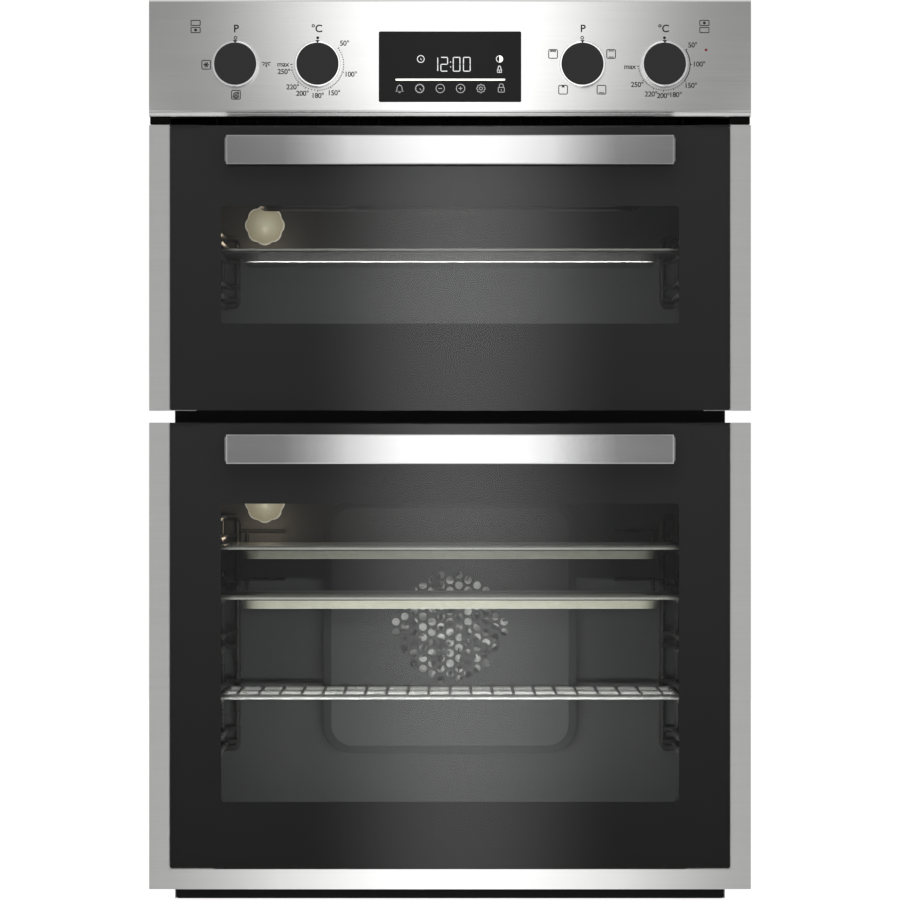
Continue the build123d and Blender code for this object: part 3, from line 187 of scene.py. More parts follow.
def galvanised_steel():
    """Hot-dip galvanised sheet: dull zinc with large faint crystals, each a slightly different grey."""
    made, tree, surface, place = new_material("galvanised_sheet", {"Metallic": 1.0, "Roughness": 0.42})
    crystals = add(tree, "ShaderNodeTexVoronoi", {"Vector": place, "Scale": 95.0, "Randomness": 1.0})
    grey = add(tree, "ShaderNodeSeparateColor", {0: crystals.outputs["Color"]}).outputs[0]
    vary(surface, grey, ("#a4a8aa", "#bdc1c2"), (0.34, 0.52), (0, 1))
    return made


def enamel(name, colour, fleck, roughness, slope_fill_colour=None):
    """Vitreous enamel fired on steel: a hard glassy skin, slightly wavy, with tiny paler flecks.
    On faces that turn away from the front it is painted a paler colour, the last argument: painted light
    that evens out the shade on the sloping folds."""
    made, tree, surface, place = new_material(name, {"Roughness": roughness, "Coat Weight": 0.15,
                                                     "Coat Roughness": 0.2})
    flecks = add(tree, "ShaderNodeTexNoise", {"Vector": place, "Scale": 700.0, "Detail": 1.0}).outputs["Fac"]
    spots = add(tree, "ShaderNodeMapRange", {0: flecks, 1: 0.66, 2: 0.74}).outputs[0]
    skin = add(tree, "ShaderNodeMix", {0: spots, 6: rgb(colour), 7: rgb(fleck)}, data_type="RGBA")
    if slope_fill_colour:
        # Painted light: faces that do not face the front are made paler, against the shade they fall in.
        normal = add(tree, "ShaderNodeNewGeometry").outputs["Normal"]
        facing = add(tree, "ShaderNodeSeparateXYZ", {0: normal}).outputs[1]
        facing = add(tree, "ShaderNodeMath", {0: facing}, operation="ABSOLUTE").outputs[0]
        slope = add(tree, "ShaderNodeMapRange", {0: facing, 1: 0.7, 2: 0.95, 3: 1, 4: 0}).outputs[0]
        skin = add(tree, "ShaderNodeMix", {0: slope, 6: skin.outputs[2], 7: rgb(slope_fill_colour)}, data_type="RGBA")
    tree.links.new(skin.outputs[2], surface.inputs["Base Color"])
    vary(surface, grain(tree, place, 60), relief=0.03)
    return made


def tray_enamel(name, body, inside, node, bands):
    """Enamel on a pressed tray. Across its front, bands paints lines of light and shade from the bottom edge
    up, each as its height in millimetres above the tray's underside and its hex colour. inside is the colour
    behind, darker than the front: painted shade."""
    made, tree, surface, place = new_material(name, {"Roughness": 0.3, "Coat Weight": 0.4, "Coat Roughness": 0.12})
    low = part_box(node)[0]
    _, deep, up = add(tree, "ShaderNodeSeparateXYZ", {0: place}).outputs
    up = add(tree, "ShaderNodeMath", {0: up, 1: low.z - 0.1 * MM}, operation="SUBTRACT").outputs[0]
    up = add(tree, "ShaderNodeMath", {0: up, 1: TRAY_PITCH * MM}, operation="MODULO").outputs[0]
    mottle = grain(tree, place, 160, 3.0)
    skin = add(tree, "ShaderNodeMix", {0: mottle, 6: rgb(body), 7: rgb("#8b8b80")}, data_type="RGBA",
               blend_type="SOFT_LIGHT").outputs[2]
    # Painted shade: behind its front, the tray is the darker colour inside.
    front = add(tree, "ShaderNodeMapRange", {0: deep, 1: low.y + 22 * MM, 2: low.y + 30 * MM,
                                             3: 1, 4: 0}).outputs[0]
    # Painted light and shade: highlight lines along the edges and a shadow line under the rim.
    painted_bands = skin
    for height, colour in bands:
        start, end = (height - 0.15) * MM, (height + 0.15) * MM
        above = add(tree, "ShaderNodeMapRange", {0: up, 1: start, 2: end}).outputs[0]
        painted_bands = add(tree, "ShaderNodeMix", {0: above, 6: painted_bands, 7: rgb(colour) if colour else skin},
                   data_type="RGBA").outputs[2]
    enamelled = add(tree, "ShaderNodeMix", {0: front, 6: rgb(inside), 7: painted_bands}, data_type="RGBA").outputs[2]
    tree.links.new(enamelled, surface.inputs["Base Color"])
    vary(surface, mottle, relief=0.05)
    return made


def glossy_print():
    """Ceramic ink fired on the back of the glass: deep neutral black with no texture but a faint mottle."""
    made, tree, surface, place = new_material("fired_black_print", {"Roughness": 0.5, "Specular IOR Level": 0.1})
    vary(surface, grain(tree, place, 400), ("#181818", "#1b1b1b"))
    return made


def clear_glass(name, per_face, reflect):
    """Float glass: it shows what is behind it, a little dimmed, and mirrors more towards its edges."""
    made, tree = empty_material(name)
    through = add(tree, "ShaderNodeBsdfTransparent", {0: rgb(per_face)}).outputs[0]
    mirror = add(tree, "ShaderNodeBsdfGlossy", {"Roughness": 0.02, "Color": rgb("#ffffff")}).outputs[0]
    bare = add(tree, "ShaderNodeFresnel", {"IOR": 1.45}).outputs[0]
    inside = add(tree, "ShaderNodeNewGeometry").outputs["Backfacing"]
    outside = add(tree, "ShaderNodeMath", {0: reflect, 1: inside}, operation="SUBTRACT", use_clamp=True).outputs[0]
    share = add(tree, "ShaderNodeMath", {0: bare, 1: outside}, operation="MULTIPLY").outputs[0]
    mixed = add(tree, "ShaderNodeMixShader", {0: share, 1: through, 2: mirror}).outputs[0]
    add(tree, "ShaderNodeOutputMaterial", {"Surface": mixed})
    return made


def smoked_glass():
    """Tinted, coated display glass, printed dark behind: near black, with a weak mirror skin."""
    made, tree, surface, place = new_material("smoked_display_glass", {"Roughness": 0.08, "IOR": 1.45,
                                                                       "Specular IOR Level": 0.07})
    vary(surface, grain(tree, place, 60), ("#151515", "#181818"))
    return made


def moulded_plastic(name, colour, roughness, spark=0.02, sheen=0.5):
    """Plastic or baked paint with a fine even texture; sheen is its specular level."""
    made, tree, surface, place = new_material(name, {"Base Color": rgb(colour), "Roughness": roughness, "IOR": 1.5,
                                                     "Specular IOR Level": sheen})
    vary(surface, grain(tree, place, 1500), None, (roughness - 0.06, roughness + 0.06), relief=spark)
    return made


def plated_metal(name, dark, light, roughness, per_metre=120, metallic=1.0):
    """Bright plated metal: nickel, chrome or zinc, clean but for a slow change in its polish."""
    made, tree, surface, place = new_material(name, {"Metallic": metallic, "Roughness": roughness})
    vary(surface, grain(tree, place, per_metre), (dark, light), (roughness * 0.7, roughness * 1.3))
    return made


def heat_stained_steel():
    """Aluminised steel stained by heat: bright silver broken by dark patches a few millimetres across."""
    made, tree, surface, place = new_material("aluminised_fan_steel", {"Metallic": 0.4, "Roughness": 0.3})
    stains = add(tree, "ShaderNodeMapRange", {0: grain(tree, place, 85, 1.0), 1: 0.44, 2: 0.56}).outputs[0]
    vary(surface, stains, ("#4b4b4a", "#f2f2f0"), (0.45, 0.25), (0, 1))
    return made


def mineral_wool():
    """Needled mineral-wool blanket: matt, pale brown and lumpy, with loose fibres."""
    made, tree, surface, place = new_material("mineral_wool", {"Roughness": 0.95, "Specular IOR Level": 0.1})
    lumps = grain(tree, place, 45, 5.0, 0.7)
    fibres = grain(tree, place, (900, 900, 160), 3.0)
    vary(surface, lumps, ("#a3956d", "#cfc39c"))
    vary(surface, add(tree, "ShaderNodeMath", {0: lumps, 1: fibres}, operation="ADD").outputs[0], relief=3.0)
    return made


def knitted_gasket():
    """Knitted glass-fibre door seal over a steel spring: dark grey loops across the cord."""
    made, tree, surface, place = new_material("knitted_gasket", {"Roughness": 0.85, "Specular IOR Level": 0.2})
    loops = add(tree, "ShaderNodeTexVoronoi", {"Vector": place, "Scale": 480.0}).outputs["Distance"]
    vary(surface, loops, ("#4a4b4c", "#1c1c1d"), relief=0.8)
    return made


def lamp_glass():
    """Pressed borosilicate cover, lit from behind: cream, softly glowing, greener and paler in the middle, darker
    towards its edge, with a pale rim that is a painted highlight.
    The cover's own UV map holds the distance from its middle."""
    made, tree, surface, place = new_material("pressed_lamp_glass", {
        "Roughness": 0.22, "IOR": 1.47, "Coat Weight": 0.4, "Coat Roughness": 0.08, "Emission Strength": 0.47})
    across = add(tree, "ShaderNodeUVMap", uv_map="across").outputs[0]
    out = add(tree, "ShaderNodeSeparateXYZ", {0: across}).outputs[0]
    cream = rgb("#d6d3b9")
    # Darker towards the edge, then a pale rim: a painted highlight on the cover's edge.
    for start, end, colour in ((0.1, 0.9, "#b8ae92"), (0.91, 0.95, "#e6e2d0")):
        share = add(tree, "ShaderNodeMapRange", {0: out, 1: start, 2: end}).outputs[0]
        cream = add(tree, "ShaderNodeMix", {0: share, 6: cream, 7: rgb(colour)}, data_type="RGBA").outputs[2]
    tree.links.new(cream, surface.inputs["Base Color"])
    tree.links.new(cream, surface.inputs["Emission Color"])
    vary(surface, grain(tree, place, 70), relief=0.1)
    return made


def circuit_board():
    """Solder-masked laminate: green, with copper tracks just showing as paler lines."""
    made, tree, surface, place = new_material("solder_masked_board", {"Roughness": 0.35, "Coat Weight": 0.3})
    add(tree, "ShaderNodeTexBrick", {"Vector": place, "Scale": 120.0, "Color1": rgb("#1f5a36"),
                                     "Color2": rgb("#256a40"), "Mortar": rgb("#4f8f5f"), "Mortar Size": 0.01},
        surface.inputs["Base Color"])
    return made


def printed_ink():
    """Screen-printed epoxy ink on steel: flat dark grey with a faint satin."""
    made, tree, surface, place = new_material("screen_print_ink", {"Roughness": 0.55, "Specular IOR Level": 0.3})
    vary(surface, grain(tree, place, 900), ("#0d0d0d", "#161616"))
    return made


def red_lens():
    """Unlit red indicator lens: deep transparent red plastic over a dark hole."""
    made, tree, surface, place = new_material("red_indicator_lens", {"Roughness": 0.15, "IOR": 1.5})
    vary(surface, grain(tree, place, 500), ("#4f0b0b", "#7c1414"))
    return made


def lit_segments(name, colour, strength):
    """Back-lit symbols and light-emitting segments behind smoked glass: soft white, with a fine diffuser skin."""
    made, tree, surface, place = new_material(name, {"Base Color": rgb(colour), "Emission Color": rgb(colour),
                                                     "Emission Strength": strength})
    vary(surface, grain(tree, place, 900), None, (0.32, 0.48))
    return made


door_glass = clear_glass("float_glass_tinted", "#f0f1f0", 1.0)
inner_glass = clear_glass("low_emissivity_glass", "#fafafa", 0.25)
fascia_finish = brushed_steel("brushed_stainless_panel", ("#c6c6c5", "#cfcfce"), 0.15, 0.6)
# The trim and both handles are painted paler in the middle of their width: a painted highlight.
trim_finish = brushed_steel("brushed_stainless_trim", ("#c3c3c2", "#cececd"), 0.33, 0.8, "#e6e6e5", (0.17, 0.275))
lower_handle_finish = brushed_steel("satin_stainless_lower_handle", ("#aaaaaa", "#b2b2b2"), 0.17, 0.3, "#e6e6e6")
# The upper handle's steel is a darker copy of the lower handle's: painted shade.
upper_handle_finish = brushed_steel("satin_stainless_upper_handle", ("#919191", "#999999"), 0.17, 0.3, "#c8c8c8")
fired_print = glossy_print()
black_ink = printed_ink()
outlet_black = moulded_plastic("black_outlet_plastic", "#060606", 0.7, 0.02, 0.05)

# Heights above a tray's underside, in millimetres, and the colour from there up; None is the tray's own enamel.
# Pale and light grey lines are painted highlights along the edges. On the pale trays, the dark line under the rim
# and the grey above it are painted shade.
PALE_BANDS = ((0, "#dcdbd0"), (0.9, None), (8.1, "#3c3c3a"), (9.45, "#cfcec6"), (11.5, "#6d6d69"))
DARK_BANDS = ((0, "#dadad6"), (0.9, None), (11.2, "#7c7b77"), (13.0, "#2c2c2c"))

FINISHES = (
    (fascia_finish, "control_fascia"),
    (trim_finish, "lower_door_trim upper_door_trim"),
    (lower_handle_finish, "lower_handle_bar lower_handle_posts"),
    (upper_handle_finish, "upper_handle_bar upper_handle_posts"),
    (door_glass, "lower_door_outer_glass upper_door_outer_glass"),
    (inner_glass, "lower_door_inner_glass upper_door_inner_glass"),
    (smoked_glass(), "display_glass"),
    (enamel("cavity_enamel", "#303031", "#353536", 0.34), "lower_cavity upper_cavity"),
    (enamel("fan_cover_enamel", "#303031", "#353536", 0.34, "#39393a"), "fan_cover"),
    (moulded_plastic("black_frame_enamel", "#121213", 0.55, 0.01, 0.12), "front_frame base_strip"),
    (outlet_black, "air_outlet"),
    (tray_enamel("pale_tray_enamel", "#cfcec0", "#6f6f69", "lower_baking_trays", PALE_BANDS), "lower_baking_trays"),
    (tray_enamel("dark_tray_enamel", "#2c2c2c", "#202020", "upper_baking_tray", DARK_BANDS), "upper_baking_tray"),
    (galvanised_steel(), "base_plate side_panels rear_panel top_cover divider_plate cabinet_brackets air_duct "
                         "blower_housing"),
    (moulded_plastic("black_baked_paint", "#161616", 0.5, 0.01, 0.2), "lower_door_carrier upper_door_carrier"),
    # The side racks' wire is a darker copy of the shelf's nickel-chrome: painted shade.
    (plated_metal("nickel_chrome_wire", "#4a4a49", "#575756", 0.3, 25, 0.8), "lower_side_racks upper_side_racks"),
    (plated_metal("nickel_chrome_shelf", "#8c8c8a", "#9c9c9a", 0.3, 25, 0.5), "wire_shelf"),
    (moulded_plastic("knob_plastic", "#1f1f1f", 0.5, 0.02, 0.2), " ".join(name + "_knob" for name in KNOBS)),
    (plated_metal("bright_chrome_plate", "#e2e3e4", "#f0f0f0", 0.12),
     " ".join(name + "_knob_ring" for name in KNOBS)),
    (moulded_plastic("black_polyamide", "#191919", 0.5), "terminal_box panel_carrier"),
    (moulded_plastic("switch_housing_plastic", "#d3cfc4", 0.45), "function_switches"),
    (knitted_gasket(), "door_seals"),
    (mineral_wool(), "insulation_jackets"),
    (plated_metal("element_sheath_oxidised", "#3c3c3d", "#454546", 0.6, 120, 0.0),
     "heating_elements bottom_elements"),
    (plated_metal("motor_lamination_steel", "#8b8d8f", "#a5a8aa", 0.4), "fan_motors"),
    (heat_stained_steel(), "fan_impeller blower_wheel"),
    (moulded_plastic("steatite_ceramic", "#dcd8cb", 0.5), "lamp_holders"),
    (circuit_board(), "control_board"),
    (plated_metal("zinc_plated_steel", "#b4b6b2", "#cbccc6", 0.3),
     "hinge_receivers hinge_arms lower_hinge_bodies upper_hinge_bodies thermostats"),
    (plated_metal("zinc_plated_screw", "#b9bab4", "#d2d3cc", 0.28, 400), "chassis_screws"),
)
for finish, names in FINISHES:
    for name in names.split():
        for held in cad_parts[name].material_slots:
            held.material = finish


# ---- pieces made here
def keep(name, mesh, body, material=None):
    """Puts a finished mesh in the scene as a piece that rides on a CAD body."""
    mesh.name = name
    if material:
        mesh.materials.clear()
        mesh.materials.append(material)
    piece = bpy.data.objects.new(name, mesh)
    scene.collection.objects.link(piece)
    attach(piece, body)
    return piece


def bare_mesh(points, edges=(), faces=()):
    mesh = bpy.data.meshes.new("made")
    mesh.from_pydata([tuple(p) for p in points], edges, faces)
    mesh.update()
    return mesh


def slab_faces(count):
    """Faces of a closed slab between two outlines of count points each."""
    sides = [(i, i + count, (i + 1) % count + count, (i + 1) % count) for i in range(count)]
    return [tuple(range(count)), tuple(range(2 * count - 1, count - 1, -1))] + sides


def prism(outline, front, back):
    """A closed slab with that outline, (x, z) points in metres, from front to back in Y."""
    area = sum(a[0] * b[1] - b[0] * a[1] for a, b in zip(outline, outline[1:] + outline[:1]))
    ring = outline if area > 0 else outline[::-1]
    return [(x, y, z) for y in (front, back) for x, z in ring], slab_faces(len(ring))


def joined(parts):
    """One mesh from several (points, faces)."""
    points, faces = [], []
    for some_points, some_faces in parts:
        start = len(points)
        points += some_points
        faces += [tuple(i + start for i in face) for face in some_faces]
    return bare_mesh(points, (), faces)


def round_corners(x0, x1, z0, z1, radius, steps=6):
    """(x, z) outline of a rectangle with rounded corners, anticlockwise as seen from the front."""
    centres = ((x1 - radius, z1 - radius, 0), (x0 + radius, z1 - radius, 90),
               (x0 + radius, z0 + radius, 180), (x1 - radius, z0 + radius, 270))
    turns = [(cx, cz, math.radians(start + 90 * i / steps)) for cx, cz, start in centres for i in range(steps + 1)]
    return [(cx + radius * math.cos(a), cz + radius * math.sin(a)) for cx, cz, a in turns]


def framed_plate(outer, inner, front, back):
    """A closed flat ring between two outlines with as many points each."""
    count = len(outer)
    rings = ((outer, front), (inner, front), (outer, back), (inner, back))
    points = [(x, y, z) for ring, y in rings for x, z in ring]
    faces = []
    for i in range(count):
        j = (i + 1) % count
        faces += [(i, j, count + j, count + i), (2 * count + j, 2 * count + i, 3 * count + i, 3 * count + j),
                  (i, 2 * count + i, 2 * count + j, j), (count + j, 3 * count + j, 3 * count + i, count + i)]
    return points, faces


def door_front(door):
    """Lowest and highest corner of a door's glass and steel together."""
    glass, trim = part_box(f"{door}_door_outer_glass"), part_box(f"{door}_door_trim")
    return Vector(map(min, glass[0], trim[0])), Vector(map(max, glass[1], trim[1]))


def black_border(door):
    """The black print inside a door's glass, with the clear window left in it."""
    low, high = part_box(f"{door}_door_outer_glass")
    bottom, top = door_front(door)[0].z + WINDOW_RISE * MM, door_front(door)[1].z - WINDOW_DROP * MM
    edge = PRINT_EDGE * MM
    outer = round_corners(low.x + edge, high.x - edge, low.z + edge, high.z - edge, 2 * MM)
    inner = round_corners(-WINDOW_HALF * MM, WINDOW_HALF * MM, bottom, top, WINDOW_CORNER * MM)
    plate = framed_plate(outer, inner, high.y - 0.25 * MM, high.y - 0.1 * MM)
    keep(f"{door}_door_black_print", bare_mesh(plate[0], (), plate[1]), f"{door}_door", fired_print)


def turned_cover(x, z, back):
    """A lamp's pressed glass cover as rings of points: a scalloped skirt and a low dome, closed behind."""
    rings = ((0, LAMP_GLASS), (-6.5, LAMP_GLASS), (-8.2, LAMP_GLASS - 0.5), (-9.0, LAMP_GLASS - 1.5),
             (-9.6, LAMP_GLASS - 3.5), (-11.2, 13.0), (-12.2, 9.0), (-12.8, 4.5))
    count = 96
    points, across = [], []
    for forward, radius in rings:
        share = radius / LAMP_GLASS
        for i in range(count):
            turn = 2 * math.pi * i / count
            wave_out = abs(math.cos(LAMP_SCALLOPS * turn / 2)) - 0.64
            reach = radius * (1 + LAMP_SCALLOP * wave_out * share ** 4)
            points.append(((x + reach * math.sin(turn)) * MM, back + forward * MM,
                           (z - reach * math.cos(turn)) * MM))
            across.append(share)
    pairs = [(i, (i + 1) % count) for i in range(count)]
    faces = [(ring * count + i, ring * count + j, (ring + 1) * count + j, (ring + 1) * count + i)
             for ring in range(len(rings) - 1) for i, j in pairs]
    last = (len(rings) - 1) * count
    tip, middle_behind = len(points), len(points) + 1
    points += [(x * MM, back - 13 * MM, z * MM), (x * MM, back, z * MM)]
    across += [0, 1]
    for i, j in pairs:
        faces += [(last + i, last + j, tip), (j, i, middle_behind)]
    return points, faces, across


def lamp_glasses():
    """Both lamps' covers, in the place of the plainer ones."""
    low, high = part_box("lamp_covers")
    radius, x = (high.x - low.x) / 2 / MM, (low.x + high.x) / 2 / MM
    covers = [turned_cover(x, z, high.y) for z in (low.z / MM + radius, high.z / MM - radius)]
    mesh = joined([cover[:2] for cover in covers])
    across = [a for cover in covers for a in cover[2]]
    layer = mesh.uv_layers.new(name="across")
    for loop in mesh.loops:
        layer.data[loop.index].uv = (across[loop.vertex_index], 0.5)
    mesh.shade_smooth()
    piece = keep("pressed_lamp_covers", mesh, "chassis", lamp_glass())
    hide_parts("lamp_covers")


def outlet_flaps():
    """A small black flap at each end of the air outlet, which closes the slit beside the casing."""
    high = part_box("air_outlet")[1]
    door_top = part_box("upper_door_trim")[1].z
    flaps = []
    for side in (-1, 1):
        x0, x1 = sorted(side * end * MM for end in FLAP_SPAN)
        outline = round_corners(x0, x1, door_top - 0.6 * MM, high.z - 0.4 * MM, 1.0 * MM, 3)
        flaps.append(prism(outline, FLAP_DEPTH[0] * MM, FLAP_DEPTH[1] * MM))
    keep("outlet_end_flaps", joined(flaps), "chassis", outlet_black)


def lower_fold():
    """The fascia's lower edge: a narrow flat fold that leans back under a crease, hemmed at the bottom."""
    low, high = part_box("control_fascia")
    front, foot = low.y / MM, low.z / MM
    side = [(front - 0.05, foot + 6.1), (front + 1.45, foot + 0.7), (front + 1.65, foot + 0.25),
            (front + 2.0, foot + 0.05), (front + 2.4, foot + 0.3), (front + 2.35, foot + 1.2),
            (front + 0.5, foot + 6.1)]
    mesh = bare_mesh([(x, y * MM, z * MM) for x in (low.x, high.x) for y, z in side], (), slab_faces(len(side)))
    work = bmesh.new()
    work.from_mesh(mesh)
    bmesh.ops.recalc_face_normals(work, faces=work.faces)
    work.to_mesh(mesh)
    work.free()
    keep("fascia_lower_fold", mesh, "chassis", fascia_finish)


def glass_edge(door):
    """The black edge that closes each upper corner of a door, where the trim's tab meets the glass."""
    glass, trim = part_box(f"{door}_door_outer_glass"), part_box(f"{door}_door_trim")
    strips = []
    for side in (-1, 1):
        x0, x1 = sorted(side * end * MM for end in CORNER_SPAN)
        outline = round_corners(x0, x1, glass[1].z - 0.8 * MM, trim[1].z, 0.4 * MM, 2)
        strips.append(prism(outline, trim[0].y - 0.12 * MM, trim[0].y + 0.3 * MM))
    keep(f"{door}_door_glass_edge", joined(strips), f"{door}_door", fired_print)


for door in ("lower", "upper"):
    glass_edge(door)
lamp_glasses()
lower_fold()
outlet_flaps()
for door in ("lower", "upper"):
    black_border(door)


# ---- printed and lit marks: strokes and dots drawn flat, then given thickness by node trees
def mark_tree(name):
    """A new node tree with the inputs that every kind of mark shares."""
    tree = bpy.data.node_groups.new(name, "GeometryNodeTree")
    tree.interface.new_socket("Drawing", in_out="INPUT", socket_type="NodeSocketGeometry")
    for size in ("Width", "Depth", "Face"):
        tree.interface.new_socket(size, in_out="INPUT", socket_type="NodeSocketFloat")
    tree.interface.new_socket("Finish", in_out="INPUT", socket_type="NodeSocketMaterial")
    tree.interface.new_socket("Marks", in_out="OUTPUT", socket_type="NodeSocketGeometry")
    return tree, add(tree, "NodeGroupInput").outputs


def stand_up(tree, given, flat):
    """Turns flat marks to face the front, on the plane Y = Face, as plain mesh of one finish."""
    offset = add(tree, "ShaderNodeCombineXYZ", {1: given["Face"]}).outputs[0]
    placed = add(tree, "GeometryNodeTransform", {"Geometry": flat, "Translation": offset,
                                                 "Rotation": (math.pi / 2, 0, 0)}).outputs[0]
    real = add(tree, "GeometryNodeRealizeInstances", {0: placed}).outputs[0]
    done = add(tree, "GeometryNodeSetMaterial", {"Geometry": real, "Material": given["Finish"]}).outputs[0]
    add(tree, "NodeGroupOutput", {0: done})
    return tree


def stroke_tree():
    """Edges become flat strips Width wide and Depth thick."""
    tree, given = mark_tree("printed_strokes")
    path = add(tree, "GeometryNodeMeshToCurve", {0: given["Drawing"]}).outputs[0]
    level = add(tree, "GeometryNodeSetCurveNormal", {0: path}, mode="Z_UP").outputs[0]
    strip = add(tree, "GeometryNodeCurvePrimitiveQuadrilateral", {"Width": given["Width"],
                                                                  "Height": given["Depth"]}).outputs[0]
    swept = add(tree, "GeometryNodeCurveToMesh", {"Curve": level, "Profile Curve": strip,
                                                  "Fill Caps": True}).outputs[0]
    return stand_up(tree, given, swept)


def dot_tree():
    """Each point becomes a round dot Width across."""
    tree, given = mark_tree("printed_dots")
    half = add(tree, "ShaderNodeMath", {0: given["Width"], 1: 0.5}, operation="MULTIPLY").outputs[0]
    disc = add(tree, "GeometryNodeMeshCylinder", {"Vertices": 16, "Radius": half,
                                                  "Depth": given["Depth"]}).outputs[0]
    spread = add(tree, "GeometryNodeInstanceOnPoints", {"Points": given["Drawing"], "Instance": disc}).outputs[0]
    return stand_up(tree, given, spread)


def grown(name, source, tree, values, body):
    """Runs a node tree on a bare mesh and keeps the plain mesh that it makes."""
    holder = bpy.data.objects.new(name + "_drawing", source)
    scene.collection.objects.link(holder)
    modifier = holder.modifiers.new(name, "NODES")
    modifier.node_group = tree
    for socket in tree.interface.items_tree:
        if socket.in_out == "INPUT" and socket.name in values:
            modifier[socket.identifier] = values[socket.name]
    mesh = bpy.data.meshes.new_from_object(holder.evaluated_get(bpy.context.evaluated_depsgraph_get()))
    bpy.data.objects.remove(holder)
    return keep(name, mesh, body)


STROKES = stroke_tree()
DOTS = dot_tree()


def on_dial(centre, radius, degrees):
    """Point on a dial, its angle measured clockwise from the top."""
    angle = math.radians(degrees)
    return centre[0] + radius * math.sin(angle), centre[1] + radius * math.cos(angle)


def arc(centre, radius, start, end, steps=24):
    return [on_dial(centre, radius, start + (end - start) * i / steps) for i in range(steps + 1)]


def circle(centre, radius, steps=24):
    return [on_dial(centre, radius, 360 * i / steps) for i in range(steps)]


def drawn(lines):
    """A mesh of edges from ((x, z) points in mm, closed) lines."""
    points, edges = [], []
    for line, closed in lines:
        start, count = len(points), len(line)
        points += [(x * MM, z * MM, 0) for x, z in line]
        edges += [(start + i, start + i + 1) for i in range(count - 1)]
        if closed:
            edges.append((start + count - 1, start))
    return bare_mesh(points, edges)


def moved(lines, x, z):
    return [([(px + x, pz + z) for px, pz in line], closed) for line, closed in lines]


def box_outline(width, height, radius=1.2):
    return (round_corners(-width / 2, width / 2, -height / 2, height / 2, radius, 4), True)


def wave(width, height, count, z):
    """A zigzag line, as grill elements are drawn."""
    return ([(-width / 2 + width * i / count, z + height * (i % 2)) for i in range(count + 1)], False)


ICON = 8.6                     # outside of a square function symbol
GRILL = [box_outline(ICON, ICON), wave(5.6, 1.0, 8, 2.0), ([(-2.8, 3.2), (2.8, 3.2)], False)]
HALF_GRILL = [box_outline(ICON, ICON), wave(2.6, 1.0, 4, 2.2), ([(-1.3, 3.4), (1.3, 3.4)], False)]
TOP_BOTTOM = [box_outline(ICON, ICON), ([(-2.6, 3.0), (2.6, 3.0)], False), ([(-2.6, -3.0), (2.6, -3.0)], False)]
BOTTOM_HEAT = [box_outline(ICON, ICON), ([(-2.6, -3.0), (2.6, -3.0)], False)]
FAN_BAKE = [box_outline(ICON, ICON), (circle((0, 0), 2.3), True), ([(-1.2, -1.2), (1.2, 1.2)], False),
            ([(-1.2, 1.2), (1.2, -1.2)], False), (arc((0, 0), 3.4, 20, 70, 6), False),
            (arc((0, 0), 3.4, 110, 250, 12), False)]
FAN_DEFROST = ([box_outline(ICON, ICON)]
               + [([(0, 0), on_dial((0, 0), 2.9, 60 * i + 30)], False) for i in range(6)]
               + [(arc((0, 0), 1.7, 60 * i + 5, 60 * i + 55, 4), False) for i in range(0, 6, 2)])
SMALL_GRILL = [([(-4.4, 1.9), (-1.6, 1.9)], False), ([(-0.9, 1.9), (0.9, 1.9)], False),
               ([(1.6, 1.9), (4.4, 1.9)], False), ([(0, 1.2), (0, -2.2)], False),
               ([(-0.9, 1.2), (-3.4, -1.1)], False), ([(0.9, 1.2), (3.4, -1.1)], False),
               ([(-0.8, -1.4), (0, -2.3), (0.8, -1.4)], False)]


def middle(node):
    """(x, z) middle of a CAD node, in millimetres."""
    low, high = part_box(node)
    return (low.x + high.x) / 2 / MM, (low.z + high.z) / 2 / MM


def cavity_symbol(dotted_upper):
    """Two stacked boxes for the two ovens. Gives its lines and the place of the dot in the box that is meant."""
    lines = moved([box_outline(9.0, 5.0, 0.5)], 0, 3.5) + moved([box_outline(9.0, 5.0, 0.5)], 0, -3.5)
    return lines, (0, 3.5 if dotted_upper else -3.5)


def lettering(words, height, x, z, front):
    """Thin capitals and figures as closed solids, centred on (x, z), faces forward. Gives one mesh."""
    text = bpy.data.curves.new("words", "FONT")
    text.body = words
    text.size = height * 1.38 * MM
    text.extrude = INK / 2 * MM
    text.offset = 0.024 * height * MM
    text.space_character = 0.95
    text.align_x = "CENTER"
    text.align_y = "CENTER"
    holder = bpy.data.objects.new("words", text)
    scene.collection.objects.link(holder)
    mesh = bpy.data.meshes.new_from_object(holder.evaluated_get(bpy.context.evaluated_depsgraph_get()))
    bpy.data.objects.remove(holder)
    mesh.transform(Matrix.Translation((x * MM, front, z * MM)) @ Matrix.Rotation(math.pi / 2, 4, "X"))
    return mesh


def merged(meshes):
    """One mesh from several, its doubled points merged."""
    work = bmesh.new()
    for mesh in meshes:
        work.from_mesh(mesh)
    bmesh.ops.remove_doubles(work, verts=work.verts, dist=1e-6)
    result = bpy.data.meshes.new("made")
    work.to_mesh(result)
    work.free()
    return result


steel_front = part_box("control_fascia")[0].y
display_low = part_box("display_glass")[0]
knobs = {name: middle(name + "_knob") for name in KNOBS}


def mark_points(places):
    """Bare points for the dot tree, from (x, z) places in millimetres."""
    return bare_mesh([(x * MM, z * MM, 0) for x, z in places])


